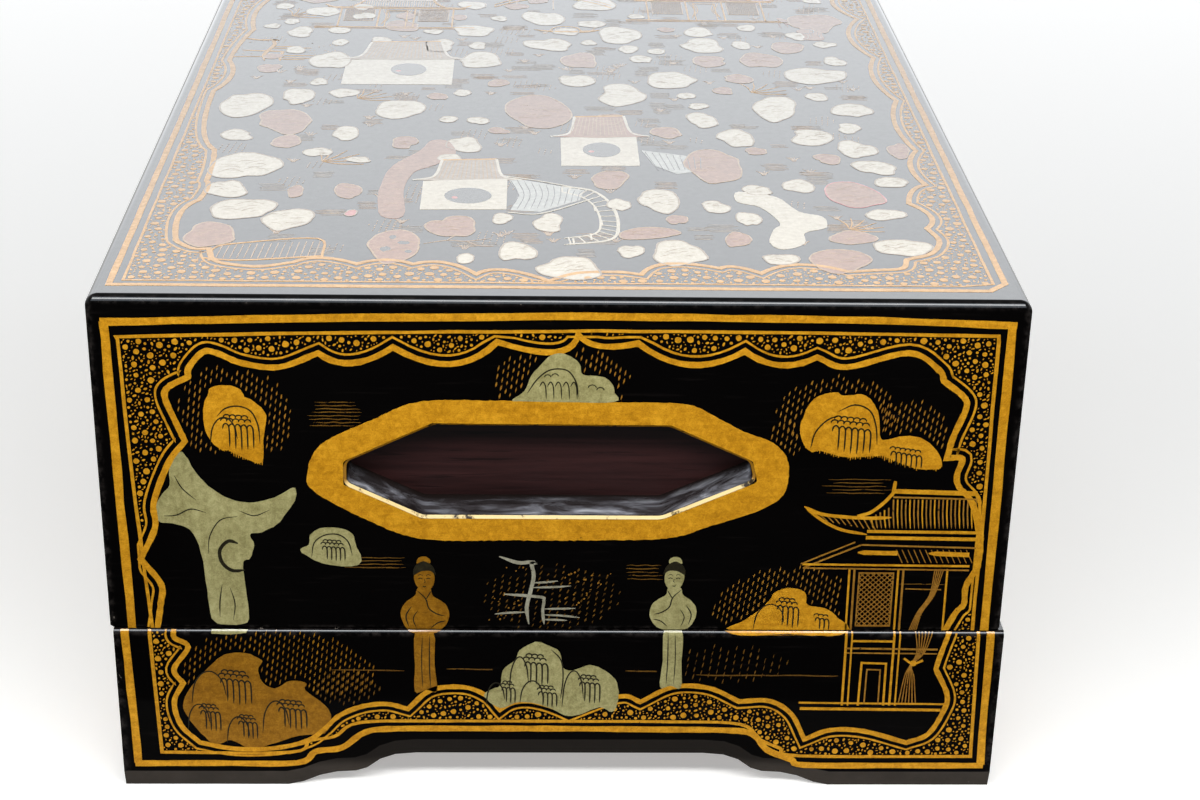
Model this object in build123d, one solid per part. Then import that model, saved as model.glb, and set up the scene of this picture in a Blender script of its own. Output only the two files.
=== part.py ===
# Lacquered mahjong case with drawers.
#
# Two tiers.  The lower tier is a shallow tray on bracket feet, with a well for
# racks and rules.  The upper tier is a small chest that stacks on it: five
# drawers open to the right (+X), four of them for one layer of 36 tiles each
# and a wide one for counters and dice.  Both short ends of the upper tier have
# an elongated eight-sided hand hole, backed by a thin inner panel, by which it
# lifts off the tray.
#
# Frame: millimetres, +Z up, origin at the centre of the footprint on the
# ground.  The short end with the hand hole that is nearest the viewer faces
# -Y, the drawers open towards +X.
from build123d import *
import os

os.makedirs("parts", exist_ok=True)

# ------------------------------------------------------------- driving sizes
WIDTH = 230.0            # short side, along X
LENGTH = 345.0           # long side, along Y
HEIGHT = 140.0
PART_Z = 48.0            # where the upper tier sits on the lower one

CASE_DX, CASE_DY = -1.0, 1.0   # the upper tier stands this far off centre in its loose fit

END_T = 12.0             # short end boards, both tiers
SIDE_T = 10.0            # long side boards
TOP_T = 9.0
CASE_BOTTOM_Z, CASE_BOTTOM_T = 52.0, 6.0
RAIL_H = 10.0            # rail under the lowest drawers
BACKING_T = 4.0          # panel behind each hand hole
SHELF_T = 3.5
ROW_H = 22.0             # clear height of a row of drawers
DIVIDER_T = 5.0
FACE_X = 108.0           # outer face of the drawer fronts, set back in the frame
RABBET = 4.0             # how far side boards are let into the end boards
GROOVE = 3.0

FLOOR_Z, FLOOR_T = 13.0, 5.0
ARCH_H = 10.0            # height of the flat of the apron's arch
BEVEL_H, BEVEL_D = 5.0, 1.3    # bevel along the lower edge of the aprons

DRAWER_GAP = 0.4         # clearance of a drawer on each side
FRONT_T, DSIDE_T, DBACK_T, DBOTTOM_T = 8.0, 5.0, 5.0, 2.5
DRAWER_BACK_X = -104.5

RING_R, RING_WIRE = 5.5, 0.9   # pull ring: centreline radius and wire radius
EYE_HOLE, EYE_WIRE = 1.25, 0.75
ROSETTE_R, ROSETTE_T = 5.2, 1.0
SHANK_R, SHANK_CLEAR = 1.1, 0.05
PEG_R = 1.5

HW, HL = WIDTH / 2, LENGTH / 2
ALL = {}


def box(x0, x1, y0, y1, z0, z1):
    """A block between two corners."""
    return Pos((x0 + x1) / 2, (y0 + y1) / 2, (z0 + z1) / 2) * Box(
        abs(x1 - x0), abs(y1 - y0), abs(z1 - z0))


def one(shape):
    """The shape as a single solid where it is one."""
    s = shape.solids()
    return s[0] if len(s) == 1 else Compound(children=list(s))


def keep(name, *shapes, case=False):
    """Stores a node; pieces of the upper tier take its offset."""
    solids = []
    for s in shapes:
        solids += list(s.solids())
    if case:
        solids = [Pos(CASE_DX, CASE_DY, 0) * s for s in solids]
    ALL[name] = solids


def outer_edges(shape, x=None, y=None, z=None, along=None, tol=0.01):
    """Straight edges along an axis that lie at the stated coordinates."""
    found = []
    for e in shape.edges().filter_by(along):
        c = e.center()
        if x is not None and abs(abs(c.X) - x) > tol:
            continue
        if y is not None and abs(abs(c.Y) - y) > tol:
            continue
        if z is not None and abs(c.Z - z) > tol:
            continue
        found.append(e)
    return found


# ------------------------------------------------------------------ aprons
def apron_points(half, foot_in):
    """Lower edge of an apron from its left end to its right: flat foot, a low
    step, an ogee up to the long flat of the arch, and the same mirrored."""
    left = [
        (-half, 0.0),
        (-foot_in, 0.0),
        (-foot_in + 4.0, 0.9),
        (-foot_in + 8.5, 2.9),
        (-foot_in + 13.0, 4.0),
        (-foot_in + 18.0, 4.3),
        (-foot_in + 21.0, 5.3),
        (-foot_in + 24.5, 8.0),
        (-foot_in + 28.5, 9.5),
        (-foot_in + 34.0, ARCH_H),
    ]
    return left + [(-x, z) for x, z in reversed(left)]


def apron_board(half, foot_in, thick, height):
    """An apron board standing in the XZ plane with its outer face at Y=0 and
    its back at Y=thick, and a bevel along the whole lower edge outside."""
    low = apron_points(half, foot_in)

    def ring(lift, y):
        return [(x, y, z + lift) for x, z in low] + [(half, y, height), (-half, y, height)]

    def flat(points):
        return make_face(Polyline(*points, close=True))

    rings = [ring(BEVEL_H, 0), ring(0, BEVEL_D), ring(0, thick)]
    faces = [flat(rings[0]), flat(rings[2])]
    n, m = len(rings[0]), len(low)
    # bevel and underside, strip by strip
    for i in range(m - 1):
        for a, b in ((0, 1), (1, 2)):
            faces.append(flat([rings[a][i], rings[a][i + 1], rings[b][i + 1], rings[b][i]]))
    # the two upright ends and the top edge are each one flat
    for i in (m - 1, n - 1):
        j = (i + 1) % n
        faces.append(flat([rings[0][i], rings[0][j], rings[2][j], rings[2][i], rings[1][i]]
                          if i == m - 1 else
                          [rings[0][i], rings[0][j], rings[1][j], rings[2][j], rings[2][i]]))
    faces.append(flat([rings[0][m], rings[0][m + 1], rings[2][m + 1], rings[2][m]]))
    return Solid(Shell(faces))


def turned(board, quarter):
    """Turns an apron board about Z by quarter turns."""
    return Rot(0, 0, 90 * quarter) * board


# ------------------------------------------------------------- lower tier
def lower_tier():
    end = apron_board(HW, 72.0, END_T, PART_Z)
    front = Pos(0, -HL, 0) * end
    rear = Rot(0, 0, 180) * front
    side = apron_board(HL - END_T + RABBET, 125.0, SIDE_T, PART_Z)
    right = Pos(HW, 0, 0) * turned(side, 1)
    left = Rot(0, 0, 180) * right

    # rabbets in the end boards for the ends of the side boards
    cut_x = HW - SIDE_T
    for sx in (-1, 1):
        tool = box(sx * cut_x, sx * (HW + 1), -HL + END_T - RABBET, -HL + END_T + 1, -1, PART_Z + 1)
        front = front - tool
        rear = rear - Rot(0, 0, 180) * tool
    # groove for the floor
    gx, gy = HW - SIDE_T + GROOVE, HL - END_T + GROOVE
    slot = box(-gx, gx, -gy, gy, FLOOR_Z, FLOOR_Z + FLOOR_T)
    front, rear, left, right = (b - slot for b in (front, rear, left, right))

    # softened arrises: the rim's outer edge, and the upright corners
    def soften(b, axis_along):
        edges = [e for e in b.edges().filter_by(axis_along)
                 if abs(e.center().Z - PART_Z) < 0.01
                 and (abs(abs(e.center().Y) - HL) < 0.01 if axis_along == Axis.X
                      else abs(abs(e.center().X) - HW) < 0.01)]
        return one(fillet(edges, 1.4))

    front, rear = soften(front, Axis.X), soften(rear, Axis.X)
    left, right = soften(left, Axis.Y), soften(right, Axis.Y)

    # pegs, sunk 1 mm under the lacquer and driven into the side boards' ends
    pegs = []
    for sx in (-1, 1):
        for sy in (-1, 1):
            for z in (24.0, 38.0):
                x = sx * (HW - SIDE_T / 2)
                y0, y1 = sy * (HL - 1.0), sy * (HL - END_T - 14.0)
                pegs.append(Pos(x, (y0 + y1) / 2, z) * Rot(90, 0, 0) * Cylinder(PEG_R, abs(y1 - y0)))
    for p in pegs:
        front, rear, left, right = (b - p for b in (front, rear, left, right))

    keep("base_front_end_board", one(front))
    keep("base_rear_end_board", one(rear))
    keep("base_left_side_board", one(left))
    keep("base_right_side_board", one(right))
    keep("base_pegs", *pegs)

    floor = box(-gx, gx, -gy, gy, FLOOR_Z, FLOOR_Z + FLOOR_T)
    keep("base_floor_board", floor)

    # glue blocks behind the feet
    blocks = []
    bx, by, leg = HW - SIDE_T, HL - END_T, 16.0
    for sx in (-1, 1):
        for sy in (-1, 1):
            tri = make_face(Polyline((sx * bx, sy * by, 0.5), (sx * (bx - leg), sy * by, 0.5),
                                     (sx * bx, sy * (by - leg), 0.5), close=True))
            blocks.append(extrude(tri, amount=FLOOR_Z - 0.5, dir=(0, 0, 1)))
    keep("base_corner_blocks", *blocks)

    # locating strips: glued inside the walls, stepped back above the rim
    strips = []
    step, st, z0, z1 = 1.6, 7.0, 34.0, PART_Z + 3.5
    for sy in (-1, 1):
        s = box(-bx, bx, sy * by, sy * (by - st), z0, PART_Z)
        s += box(-bx + step, bx - step, sy * (by - step), sy * (by - st), PART_Z, z1)
        strips.append(one(s))
    for sx in (-1, 1):
        s = box(sx * bx, sx * (bx - st), -(by - st), by - st, z0, PART_Z)
        s += box(sx * (bx - step), sx * (bx - st), -(by - st), by - st, PART_Z, z1)
        strips.append(one(s))
    keep("base_locating_strips", *strips)


# ------------------------------------------------------------- upper tier
# The hand hole, as its eight corners on the end board (x, z).
HAND_HOLE = [(-53.2, 95.7), (-31.6, 106.1), (27.4, 105.9), (47.7, 96.3),
             (48.9, 91.3), (26.0, 80.9), (-34.4, 80.9), (-53.3, 90.1)]
WALL_TOP = HEIGHT - TOP_T
IN_Y = HL - END_T - BACKING_T          # clear half length inside
ROWS = [CASE_BOTTOM_Z + CASE_BOTTOM_T]  # floor of each row
for _ in range(2):
    ROWS.append(ROWS[-1] + ROW_H + SHELF_T)


def hand_hole_tool():
    wire = Polyline(*[(x, -HL - 5, z) for x, z in HAND_HOLE], close=True)
    tool = extrude(make_face(wire), amount=END_T + 5, dir=(0, 1, 0))
    edges = [e for e in tool.edges().filter_by(Axis.Y)]
    tips = [e for e in edges if abs(e.center().X) > 45]
    tool = fillet(tips, 2.2)
    rest = [e for e in tool.edges().filter_by(Axis.Y) if abs(e.center().X) < 40]
    return one(fillet(rest, 5.0))


def end_board():
    b = box(-HW, HW, -HL, -HL + END_T, PART_Z, WALL_TOP)
    b -= box(-HW - 1, -HW + SIDE_T, -HL + END_T - RABBET, -HL + END_T + 1, PART_Z - 1, WALL_TOP + 1)
    b -= box(HW - SIDE_T, HW + 1, -HL + END_T - RABBET, -HL + END_T + 1,
             PART_Z - 1, PART_Z + RAIL_H)
    b -= box(-HW + SIDE_T - GROOVE, HW - SIDE_T + GROOVE, -HL + END_T - GROOVE, -HL + END_T + 1,
             CASE_BOTTOM_Z, CASE_BOTTOM_Z + CASE_BOTTOM_T)
    b -= hand_hole_tool()
    b = one(b)
    corner = [e for e in b.edges().filter_by(Axis.Z)
              if abs(e.center().Y + HL) < 0.01 and abs(abs(e.center().X) - HW) < 0.01]
    b = one(fillet(corner, 1.2))
    low = [e for e in b.edges() if abs(e.center().Z - PART_Z) < 0.01 and abs(e.center().Y + HL) < 0.01]
    b = one(chamfer(low, 0.6))
    # the hole's outer arris is rubbed round
    rim = [e for e in b.edges()
           if abs(e.center().Y + HL) < 0.01 and abs(e.center().X) < 56 and 78 < e.center().Z < 109]
    return one(chamfer(rim, 0.7))


def upper_tier():
    front = end_board()
    rear = one(mirror(front, about=Plane.XZ))
    back = box(-HW, -HW + SIDE_T, -(HL - END_T + RABBET), HL - END_T + RABBET, PART_Z, WALL_TOP)
    back -= box(-HW + SIDE_T - GROOVE, -HW + SIDE_T + 1, -HL, HL, CASE_BOTTOM_Z, CASE_BOTTOM_Z + CASE_BOTTOM_T)
    for z in (ROWS[0] + ROW_H, ROWS[1] + ROW_H):
        back -= box(-HW + SIDE_T - GROOVE, -HW + SIDE_T + 1, -IN_Y - 2, IN_Y + 2, z, z + SHELF_T)
    back = one(back)
    low = [e for e in back.edges().filter_by(Axis.Y)
           if abs(e.center().X + HW) < 0.01 and abs(e.center().Z - PART_Z) < 0.01]
    back = one(chamfer(low, 0.6))

    rail = box(HW - SIDE_T, HW, -(HL - END_T + RABBET), HL - END_T + RABBET, PART_Z, PART_Z + RAIL_H)
    rail -= box(HW - SIDE_T - 1, HW - SIDE_T + GROOVE, -HL, HL, CASE_BOTTOM_Z, CASE_BOTTOM_Z + CASE_BOTTOM_T)
    rail = one(rail)
    low = [e for e in rail.edges().filter_by(Axis.Y)
           if abs(e.center().X - HW) < 0.01 and abs(e.center().Z - PART_Z) < 0.01]
    rail = one(chamfer(low, 0.6))

    bottom = box(-HW + SIDE_T - GROOVE, HW - SIDE_T + GROOVE, -(HL - END_T + GROOVE), HL - END_T + GROOVE,
                 CASE_BOTTOM_Z, CASE_BOTTOM_Z + CASE_BOTTOM_T)

    top = box(-HW, HW, -HL, HL, WALL_TOP, HEIGHT)
    top = one(fillet(top.edges().filter_by(Axis.Z), 1.2))
    rim = [e for e in top.edges() if abs(e.center().Z - HEIGHT) < 0.01]
    top = one(fillet(rim, 2.6))

    # pegs: end boards to the back board and the rail, top board to the walls
    pegs = []
    for sy in (-1, 1):
        for z in (68.0, 92.0, 116.0):
            y0, y1 = sy * (HL - 1.0), sy * (HL - END_T - 14.0)
            pegs.append(Pos(-HW + SIDE_T / 2, (y0 + y1) / 2, z) * Rot(90, 0, 0) * Cylinder(PEG_R, abs(y1 - y0)))
        y0, y1 = sy * (HL - 1.0), sy * (HL - END_T - 14.0)
        pegs.append(Pos(HW - 4.0, (y0 + y1) / 2, PART_Z + 5.0) * Rot(90, 0, 0) * Cylinder(PEG_R - 0.4, abs(y1 - y0)))
        for x in (-80.0, 0.0, 80.0):
            pegs.append(Pos(x, sy * (HL - END_T / 2), (WALL_TOP - 16 + HEIGHT - 1) / 2)
                        * Cylinder(PEG_R, HEIGHT - 1 - (WALL_TOP - 16)))
    for y in (-120.0, 0.0, 120.0):
        pegs.append(Pos(-HW + SIDE_T / 2, y, (WALL_TOP - 16 + HEIGHT - 1) / 2)
                    * Cylinder(PEG_R, HEIGHT - 1 - (WALL_TOP - 16)))
    for p in pegs:
        front, rear, back, rail, top = (b - p for b in (front, rear, back, rail, top))

    keep("case_front_end_board", one(front), case=True)
    keep("case_rear_end_board", one(rear), case=True)
    keep("case_back_side_board", one(back), case=True)
    keep("case_lower_rail", one(rail), case=True)
    keep("case_bottom_board", bottom, case=True)
    keep("case_top_board", one(top), case=True)
    keep("case_pegs", *pegs, case=True)

    # thin panels behind the hand holes; the shelves are let into them
    z0 = CASE_BOTTOM_Z + CASE_BOTTOM_T
    for sy, name in ((-1, "front_grip_backing_panel"), (1, "rear_grip_backing_panel")):
        p = box(-HW + SIDE_T, FACE_X, sy * IN_Y, sy * (IN_Y + BACKING_T), z0, WALL_TOP)
        for z in (ROWS[0] + ROW_H, ROWS[1] + ROW_H):
            p -= box(-HW, HW, sy * (IN_Y - 1), sy * (IN_Y + 2), z, z + SHELF_T)
        keep(name, one(p), case=True)
    for z, name in ((ROWS[0] + ROW_H, "lower_shelf"), (ROWS[1] + ROW_H, "upper_shelf")):
        keep(name, box(-HW + SIDE_T - GROOVE, FACE_X, -IN_Y - 2, IN_Y + 2, z, z + SHELF_T), case=True)
    for z, name in ((ROWS[0], "lower_drawer_divider"), (ROWS[1], "middle_drawer_divider")):
        keep(name, box(-HW + SIDE_T, FACE_X, -DIVIDER_T / 2, DIVIDER_T / 2, z, z + ROW_H), case=True)


# ---------------------------------------------------------------- drawers
def pull_mount(y, z):
    """A small brass rosette and an eye pin with its legs clenched inside."""
    ros = Pos(FACE_X + ROSETTE_T / 2, y, z) * Rot(0, 90, 0) * Cylinder(ROSETTE_R, ROSETTE_T)
    edge = [e for e in ros.edges() if abs(e.center().X - (FACE_X + ROSETTE_T)) < 0.01]
    ros = fillet(edge, 0.7)
    ros -= Pos(FACE_X, y, z) * Rot(0, 90, 0) * Cylinder(SHANK_R + SHANK_CLEAR, 6)
    ex = FACE_X + ROSETTE_T + EYE_HOLE + 2 * EYE_WIRE
    eye = Pos(ex, y, z) * Rot(90, 0, 0) * Torus(EYE_HOLE + EYE_WIRE, EYE_WIRE)
    back_x = FACE_X - FRONT_T
    shank = Pos((ex - EYE_HOLE - EYE_WIRE + back_x - 0.9) / 2, y, z) * Rot(0, 90, 0) * Cylinder(
        SHANK_R, ex - EYE_HOLE - EYE_WIRE - back_x + 0.9)
    legs = box(back_x - 0.9, back_x, y - 1.0, y + 1.0, z - 5.5, z + 5.5)
    # the shank's end is kept clear of the eye's hole
    pin = (eye + shank + legs) - Pos(ex, y, z) * Rot(90, 0, 0) * Cylinder(EYE_HOLE, 6)
    return one(ros), one(pin), ex


def pull_ring(y, z, ex):
    """The ring hangs from the eye, flat to the drawer front."""
    return Pos(ex, y, z - RING_R) * Rot(0, 90, 0) * Torus(RING_R, RING_WIRE)


def drawer(tag, row, y0, y1, pulls, dividers=0):
    """All the pieces of one drawer between two walls of its row."""
    ya, yb = y0 + DRAWER_GAP, y1 - DRAWER_GAP
    z0 = ROWS[row]
    top = z0 + ROW_H - DRAWER_GAP
    lap = 4.0
    front = box(FACE_X - FRONT_T, FACE_X, ya, yb, z0 + 0.2, top)
    for s in (ya, yb):
        d = DSIDE_T if s == ya else -DSIDE_T
        front -= box(FACE_X - FRONT_T - 1, FACE_X - FRONT_T + lap, s - d, s + d, z0 - 1, top + 1)
    bz = z0 + 1.6
    groove = box(DRAWER_BACK_X - 1, FACE_X - FRONT_T + 2.0, ya + DSIDE_T - 2, yb - DSIDE_T + 2, bz, bz + DBOTTOM_T)
    front -= groove
    side_top = top - 1.0
    left = box(DRAWER_BACK_X, FACE_X - FRONT_T + lap, ya, ya + DSIDE_T, z0, side_top) - groove
    right = box(DRAWER_BACK_X, FACE_X - FRONT_T + lap, yb - DSIDE_T, yb, z0, side_top) - groove
    back = box(DRAWER_BACK_X, DRAWER_BACK_X + DBACK_T, ya + DSIDE_T, yb - DSIDE_T, bz + DBOTTOM_T, side_top - 2.0)
    bottom = box(DRAWER_BACK_X, FACE_X - FRONT_T + 2.0, ya + DSIDE_T - 2, yb - DSIDE_T + 2, bz, bz + DBOTTOM_T)
    zp = z0 + 13.6
    mounts = []
    for i, y in enumerate(pulls):
        ros, pin, ex = pull_mount(y, zp)
        front -= Pos(FACE_X - FRONT_T / 2, y, zp) * Rot(0, 90, 0) * Cylinder(SHANK_R + SHANK_CLEAR, FRONT_T + 2)
        mounts += [ros, pin]
        ring = pull_ring(y, zp, ex)
        suffix = "" if len(pulls) == 1 else ("_near" if i == 0 else "_far")
        keep(f"{tag}_pull_ring{suffix}", ring, case=True)
    front = one(front)
    arris = [e for e in front.edges() if abs(e.center().X - FACE_X) < 0.01
             and (abs(e.center().Z - top) < 0.01 or abs(e.center().Z - z0 - 0.2) < 0.01
                  or abs(e.center().Y - ya) < 0.01 or abs(e.center().Y - yb) < 0.01)]
    front = one(chamfer(arris, 0.5))
    keep(f"{tag}_front", front, case=True)
    keep(f"{tag}_near_side", one(left), case=True)
    keep(f"{tag}_far_side", one(right), case=True)
    keep(f"{tag}_back", back, case=True)
    keep(f"{tag}_bottom", bottom, case=True)
    keep(f"{tag}_pull_mount", *mounts, case=True)
    if dividers:
        inner0, inner1 = ya + DSIDE_T, yb - DSIDE_T
        pitch = (inner1 - inner0) / (dividers + 1)
        divs = []
        for k in range(1, dividers + 1):
            y = inner0 + k * pitch
            divs.append(box(DRAWER_BACK_X + DBACK_T, FACE_X - FRONT_T, y - 1.25, y + 1.25,
                            bz + DBOTTOM_T, side_top - 3.0))
        keep(f"{tag}_dividers", *divs, case=True)


PULL_Y = (DIVIDER_T / 2 + IN_Y) / 2

lower_tier()
upper_tier()
half = DIVIDER_T / 2
drawer("drawer_low_near", 0, -IN_Y, -half, [-PULL_Y])
drawer("drawer_low_far", 0, half, IN_Y, [PULL_Y])
drawer("drawer_mid_near", 1, -IN_Y, -half, [-PULL_Y])
drawer("drawer_mid_far", 1, half, IN_Y, [PULL_Y])
drawer("drawer_wide", 2, -IN_Y, IN_Y, [-PULL_Y, PULL_Y], dividers=3)

for name, solids in ALL.items():
    shape = solids[0] if len(solids) == 1 else Compound(children=solids)
    export_step(shape, f"parts/{name}.step")
print(len(ALL), "nodes")
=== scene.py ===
import bpy
import math
import random
import numpy as np
from mathutils import Matrix, Vector


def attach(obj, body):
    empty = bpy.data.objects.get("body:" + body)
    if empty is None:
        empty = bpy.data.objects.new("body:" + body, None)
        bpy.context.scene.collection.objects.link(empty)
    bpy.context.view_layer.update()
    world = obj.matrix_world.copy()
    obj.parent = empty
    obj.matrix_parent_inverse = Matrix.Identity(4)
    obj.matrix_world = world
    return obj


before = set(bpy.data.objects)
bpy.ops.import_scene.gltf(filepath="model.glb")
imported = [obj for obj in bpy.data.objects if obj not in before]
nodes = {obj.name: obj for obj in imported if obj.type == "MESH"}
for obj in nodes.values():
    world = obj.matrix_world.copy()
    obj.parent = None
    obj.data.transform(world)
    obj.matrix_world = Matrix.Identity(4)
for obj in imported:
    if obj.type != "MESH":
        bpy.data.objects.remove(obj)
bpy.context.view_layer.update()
MM = 0.001
CDX, CDY = -1.0, 1.0          # the upper case's offset in its loose fit, mm

# =====================================================================
# camera
# =====================================================================
F_PX, YAW, PITCH, ROLL = 2339.62, 0.0346527, 0.4353644, 0.0208588
fwd = Vector((math.sin(YAW) * math.cos(PITCH), math.cos(YAW) * math.cos(PITCH), -math.sin(PITCH)))
right0 = Vector((math.cos(YAW), -math.sin(YAW), 0.0))
up0 = right0.cross(fwd)
right = right0 * math.cos(ROLL) + up0 * math.sin(ROLL)
up = up0 * math.cos(ROLL) - right0 * math.sin(ROLL)
cam_data = bpy.data.cameras.new("camera")
cam_data.lens = F_PX / 1200 * 36
cam_data.sensor_width = 36
cam_data.clip_start, cam_data.clip_end = 0.05, 60
cam = bpy.data.objects.new("camera", cam_data)
cam.matrix_world = Matrix(((right.x, up.x, -fwd.x, -0.009377),
                           (right.y, up.y, -fwd.y, -0.694613),
                           (right.z, up.z, -fwd.z, 0.356905),
                           (0, 0, 0, 1)))
bpy.context.scene.collection.objects.link(cam)
bpy.context.scene.camera = cam
bpy.context.scene.view_settings.view_transform = "Standard"
bpy.context.scene.view_settings.look = "None"


# =====================================================================
# materials
# =====================================================================
class Tree:
    """A small helper over one material's nodes."""

    def __init__(self, name):
        self.m = bpy.data.materials.new(name)
        self.m.use_nodes = True
        self.nt = self.m.node_tree
        self.b = self.nt.nodes["Principled BSDF"]
        self.co = self.nt.nodes.new("ShaderNodeTexCoord").outputs["Object"]

    def node(self, kind, **props):
        n = self.nt.nodes.new(kind)
        for k, v in props.items():
            setattr(n, k, v)
        return n

    def put(self, socket, value):
        if isinstance(value, bpy.types.NodeSocket):
            self.nt.links.new(value, socket)
        else:
            socket.default_value = value

    def math(self, op, a, b=0.0, c=0.0, clamp=False):
        n = self.node("ShaderNodeMath", operation=op, use_clamp=clamp)
        for s, v in zip(n.inputs, (a, b, c)):
            self.put(s, v)
        return n.outputs[0]

    def scaled(self, sx, sy, sz, rot=(0, 0, 0)):
        n = self.node("ShaderNodeMapping")
        n.inputs["Scale"].default_value = (sx, sy, sz)
        n.inputs["Rotation"].default_value = rot
        self.nt.links.new(self.co, n.inputs["Vector"])
        return n.outputs[0]

    def noise(self, scale, detail=3.0, rough=0.55, vec=None, dist=0.0):
        n = self.node("ShaderNodeTexNoise")
        self.put(n.inputs["Vector"], vec if vec is not None else self.co)
        n.inputs["Scale"].default_value = scale
        n.inputs["Detail"].default_value = detail
        n.inputs["Roughness"].default_value = rough
        n.inputs["Distortion"].default_value = dist
        return n.outputs["Fac"]

    def ramp(self, fac, stops, interp="LINEAR"):
        n = self.node("ShaderNodeValToRGB")
        self.put(n.inputs["Fac"], fac)
        r = n.color_ramp
        r.interpolation = interp
        while len(r.elements) < len(stops):
            r.elements.new(0.5)
        for e, (p, c) in zip(r.elements, stops):
            e.position = p
            e.color = (*c, 1.0) if len(c) == 3 else c
        return n.outputs["Color"]

    def step(self, fac, lo, hi):
        n = self.node("ShaderNodeMapRange", interpolation_type="SMOOTHSTEP")
        self.put(n.inputs["Value"], fac)
        n.inputs["From Min"].default_value = lo
        n.inputs["From Max"].default_value = hi
        return n.outputs["Result"]

    def mix(self, fac, a, b):
        n = self.node("ShaderNodeMix", data_type="RGBA")
        self.put(n.inputs[0], fac)
        self.put(n.inputs[6], a if isinstance(a, bpy.types.NodeSocket) else (*a, 1.0))
        self.put(n.inputs[7], b if isinstance(b, bpy.types.NodeSocket) else (*b, 1.0))
        return n.outputs[2]

    def mixf(self, fac, a, b):
        n = self.node("ShaderNodeMix", data_type="FLOAT")
        for s, v in zip((n.inputs[0], n.inputs[2], n.inputs[3]), (fac, a, b)):
            self.put(s, v)
        return n.outputs[0]

    def bump(self, height, strength, distance):
        n = self.node("ShaderNodeBump")
        n.inputs["Strength"].default_value = strength
        n.inputs["Distance"].default_value = distance
        self.nt.links.new(height, n.inputs["Height"])
        self.nt.links.new(n.outputs["Normal"], self.b.inputs["Normal"])

    def xyz(self, vec=None):
        n = self.node("ShaderNodeSeparateXYZ")
        self.put(n.inputs[0], vec if vec is not None else self.co)
        return n.outputs

    def normal(self):
        """The face's own normal in the piece's frame."""
        g = self.node("ShaderNodeTexCoord")
        return self.xyz(g.outputs["Normal"])

    def base(self, color=None, rough=None, **uniform):
        if color is not None:
            self.put(self.b.inputs["Base Color"], color if isinstance(color, bpy.types.NodeSocket) else (*color, 1.0))
        if rough is not None:
            self.put(self.b.inputs["Roughness"], rough)
        for k, v in uniform.items():
            self.put(self.b.inputs[k.replace("_", " ")], v)


def near(t, coord, centre, half, width):
    """1 at the plane, 0 a little way inside it."""
    d = t.math("ABSOLUTE", t.math("SUBTRACT", coord, centre))
    return t.step(d, half - width, half)


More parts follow.
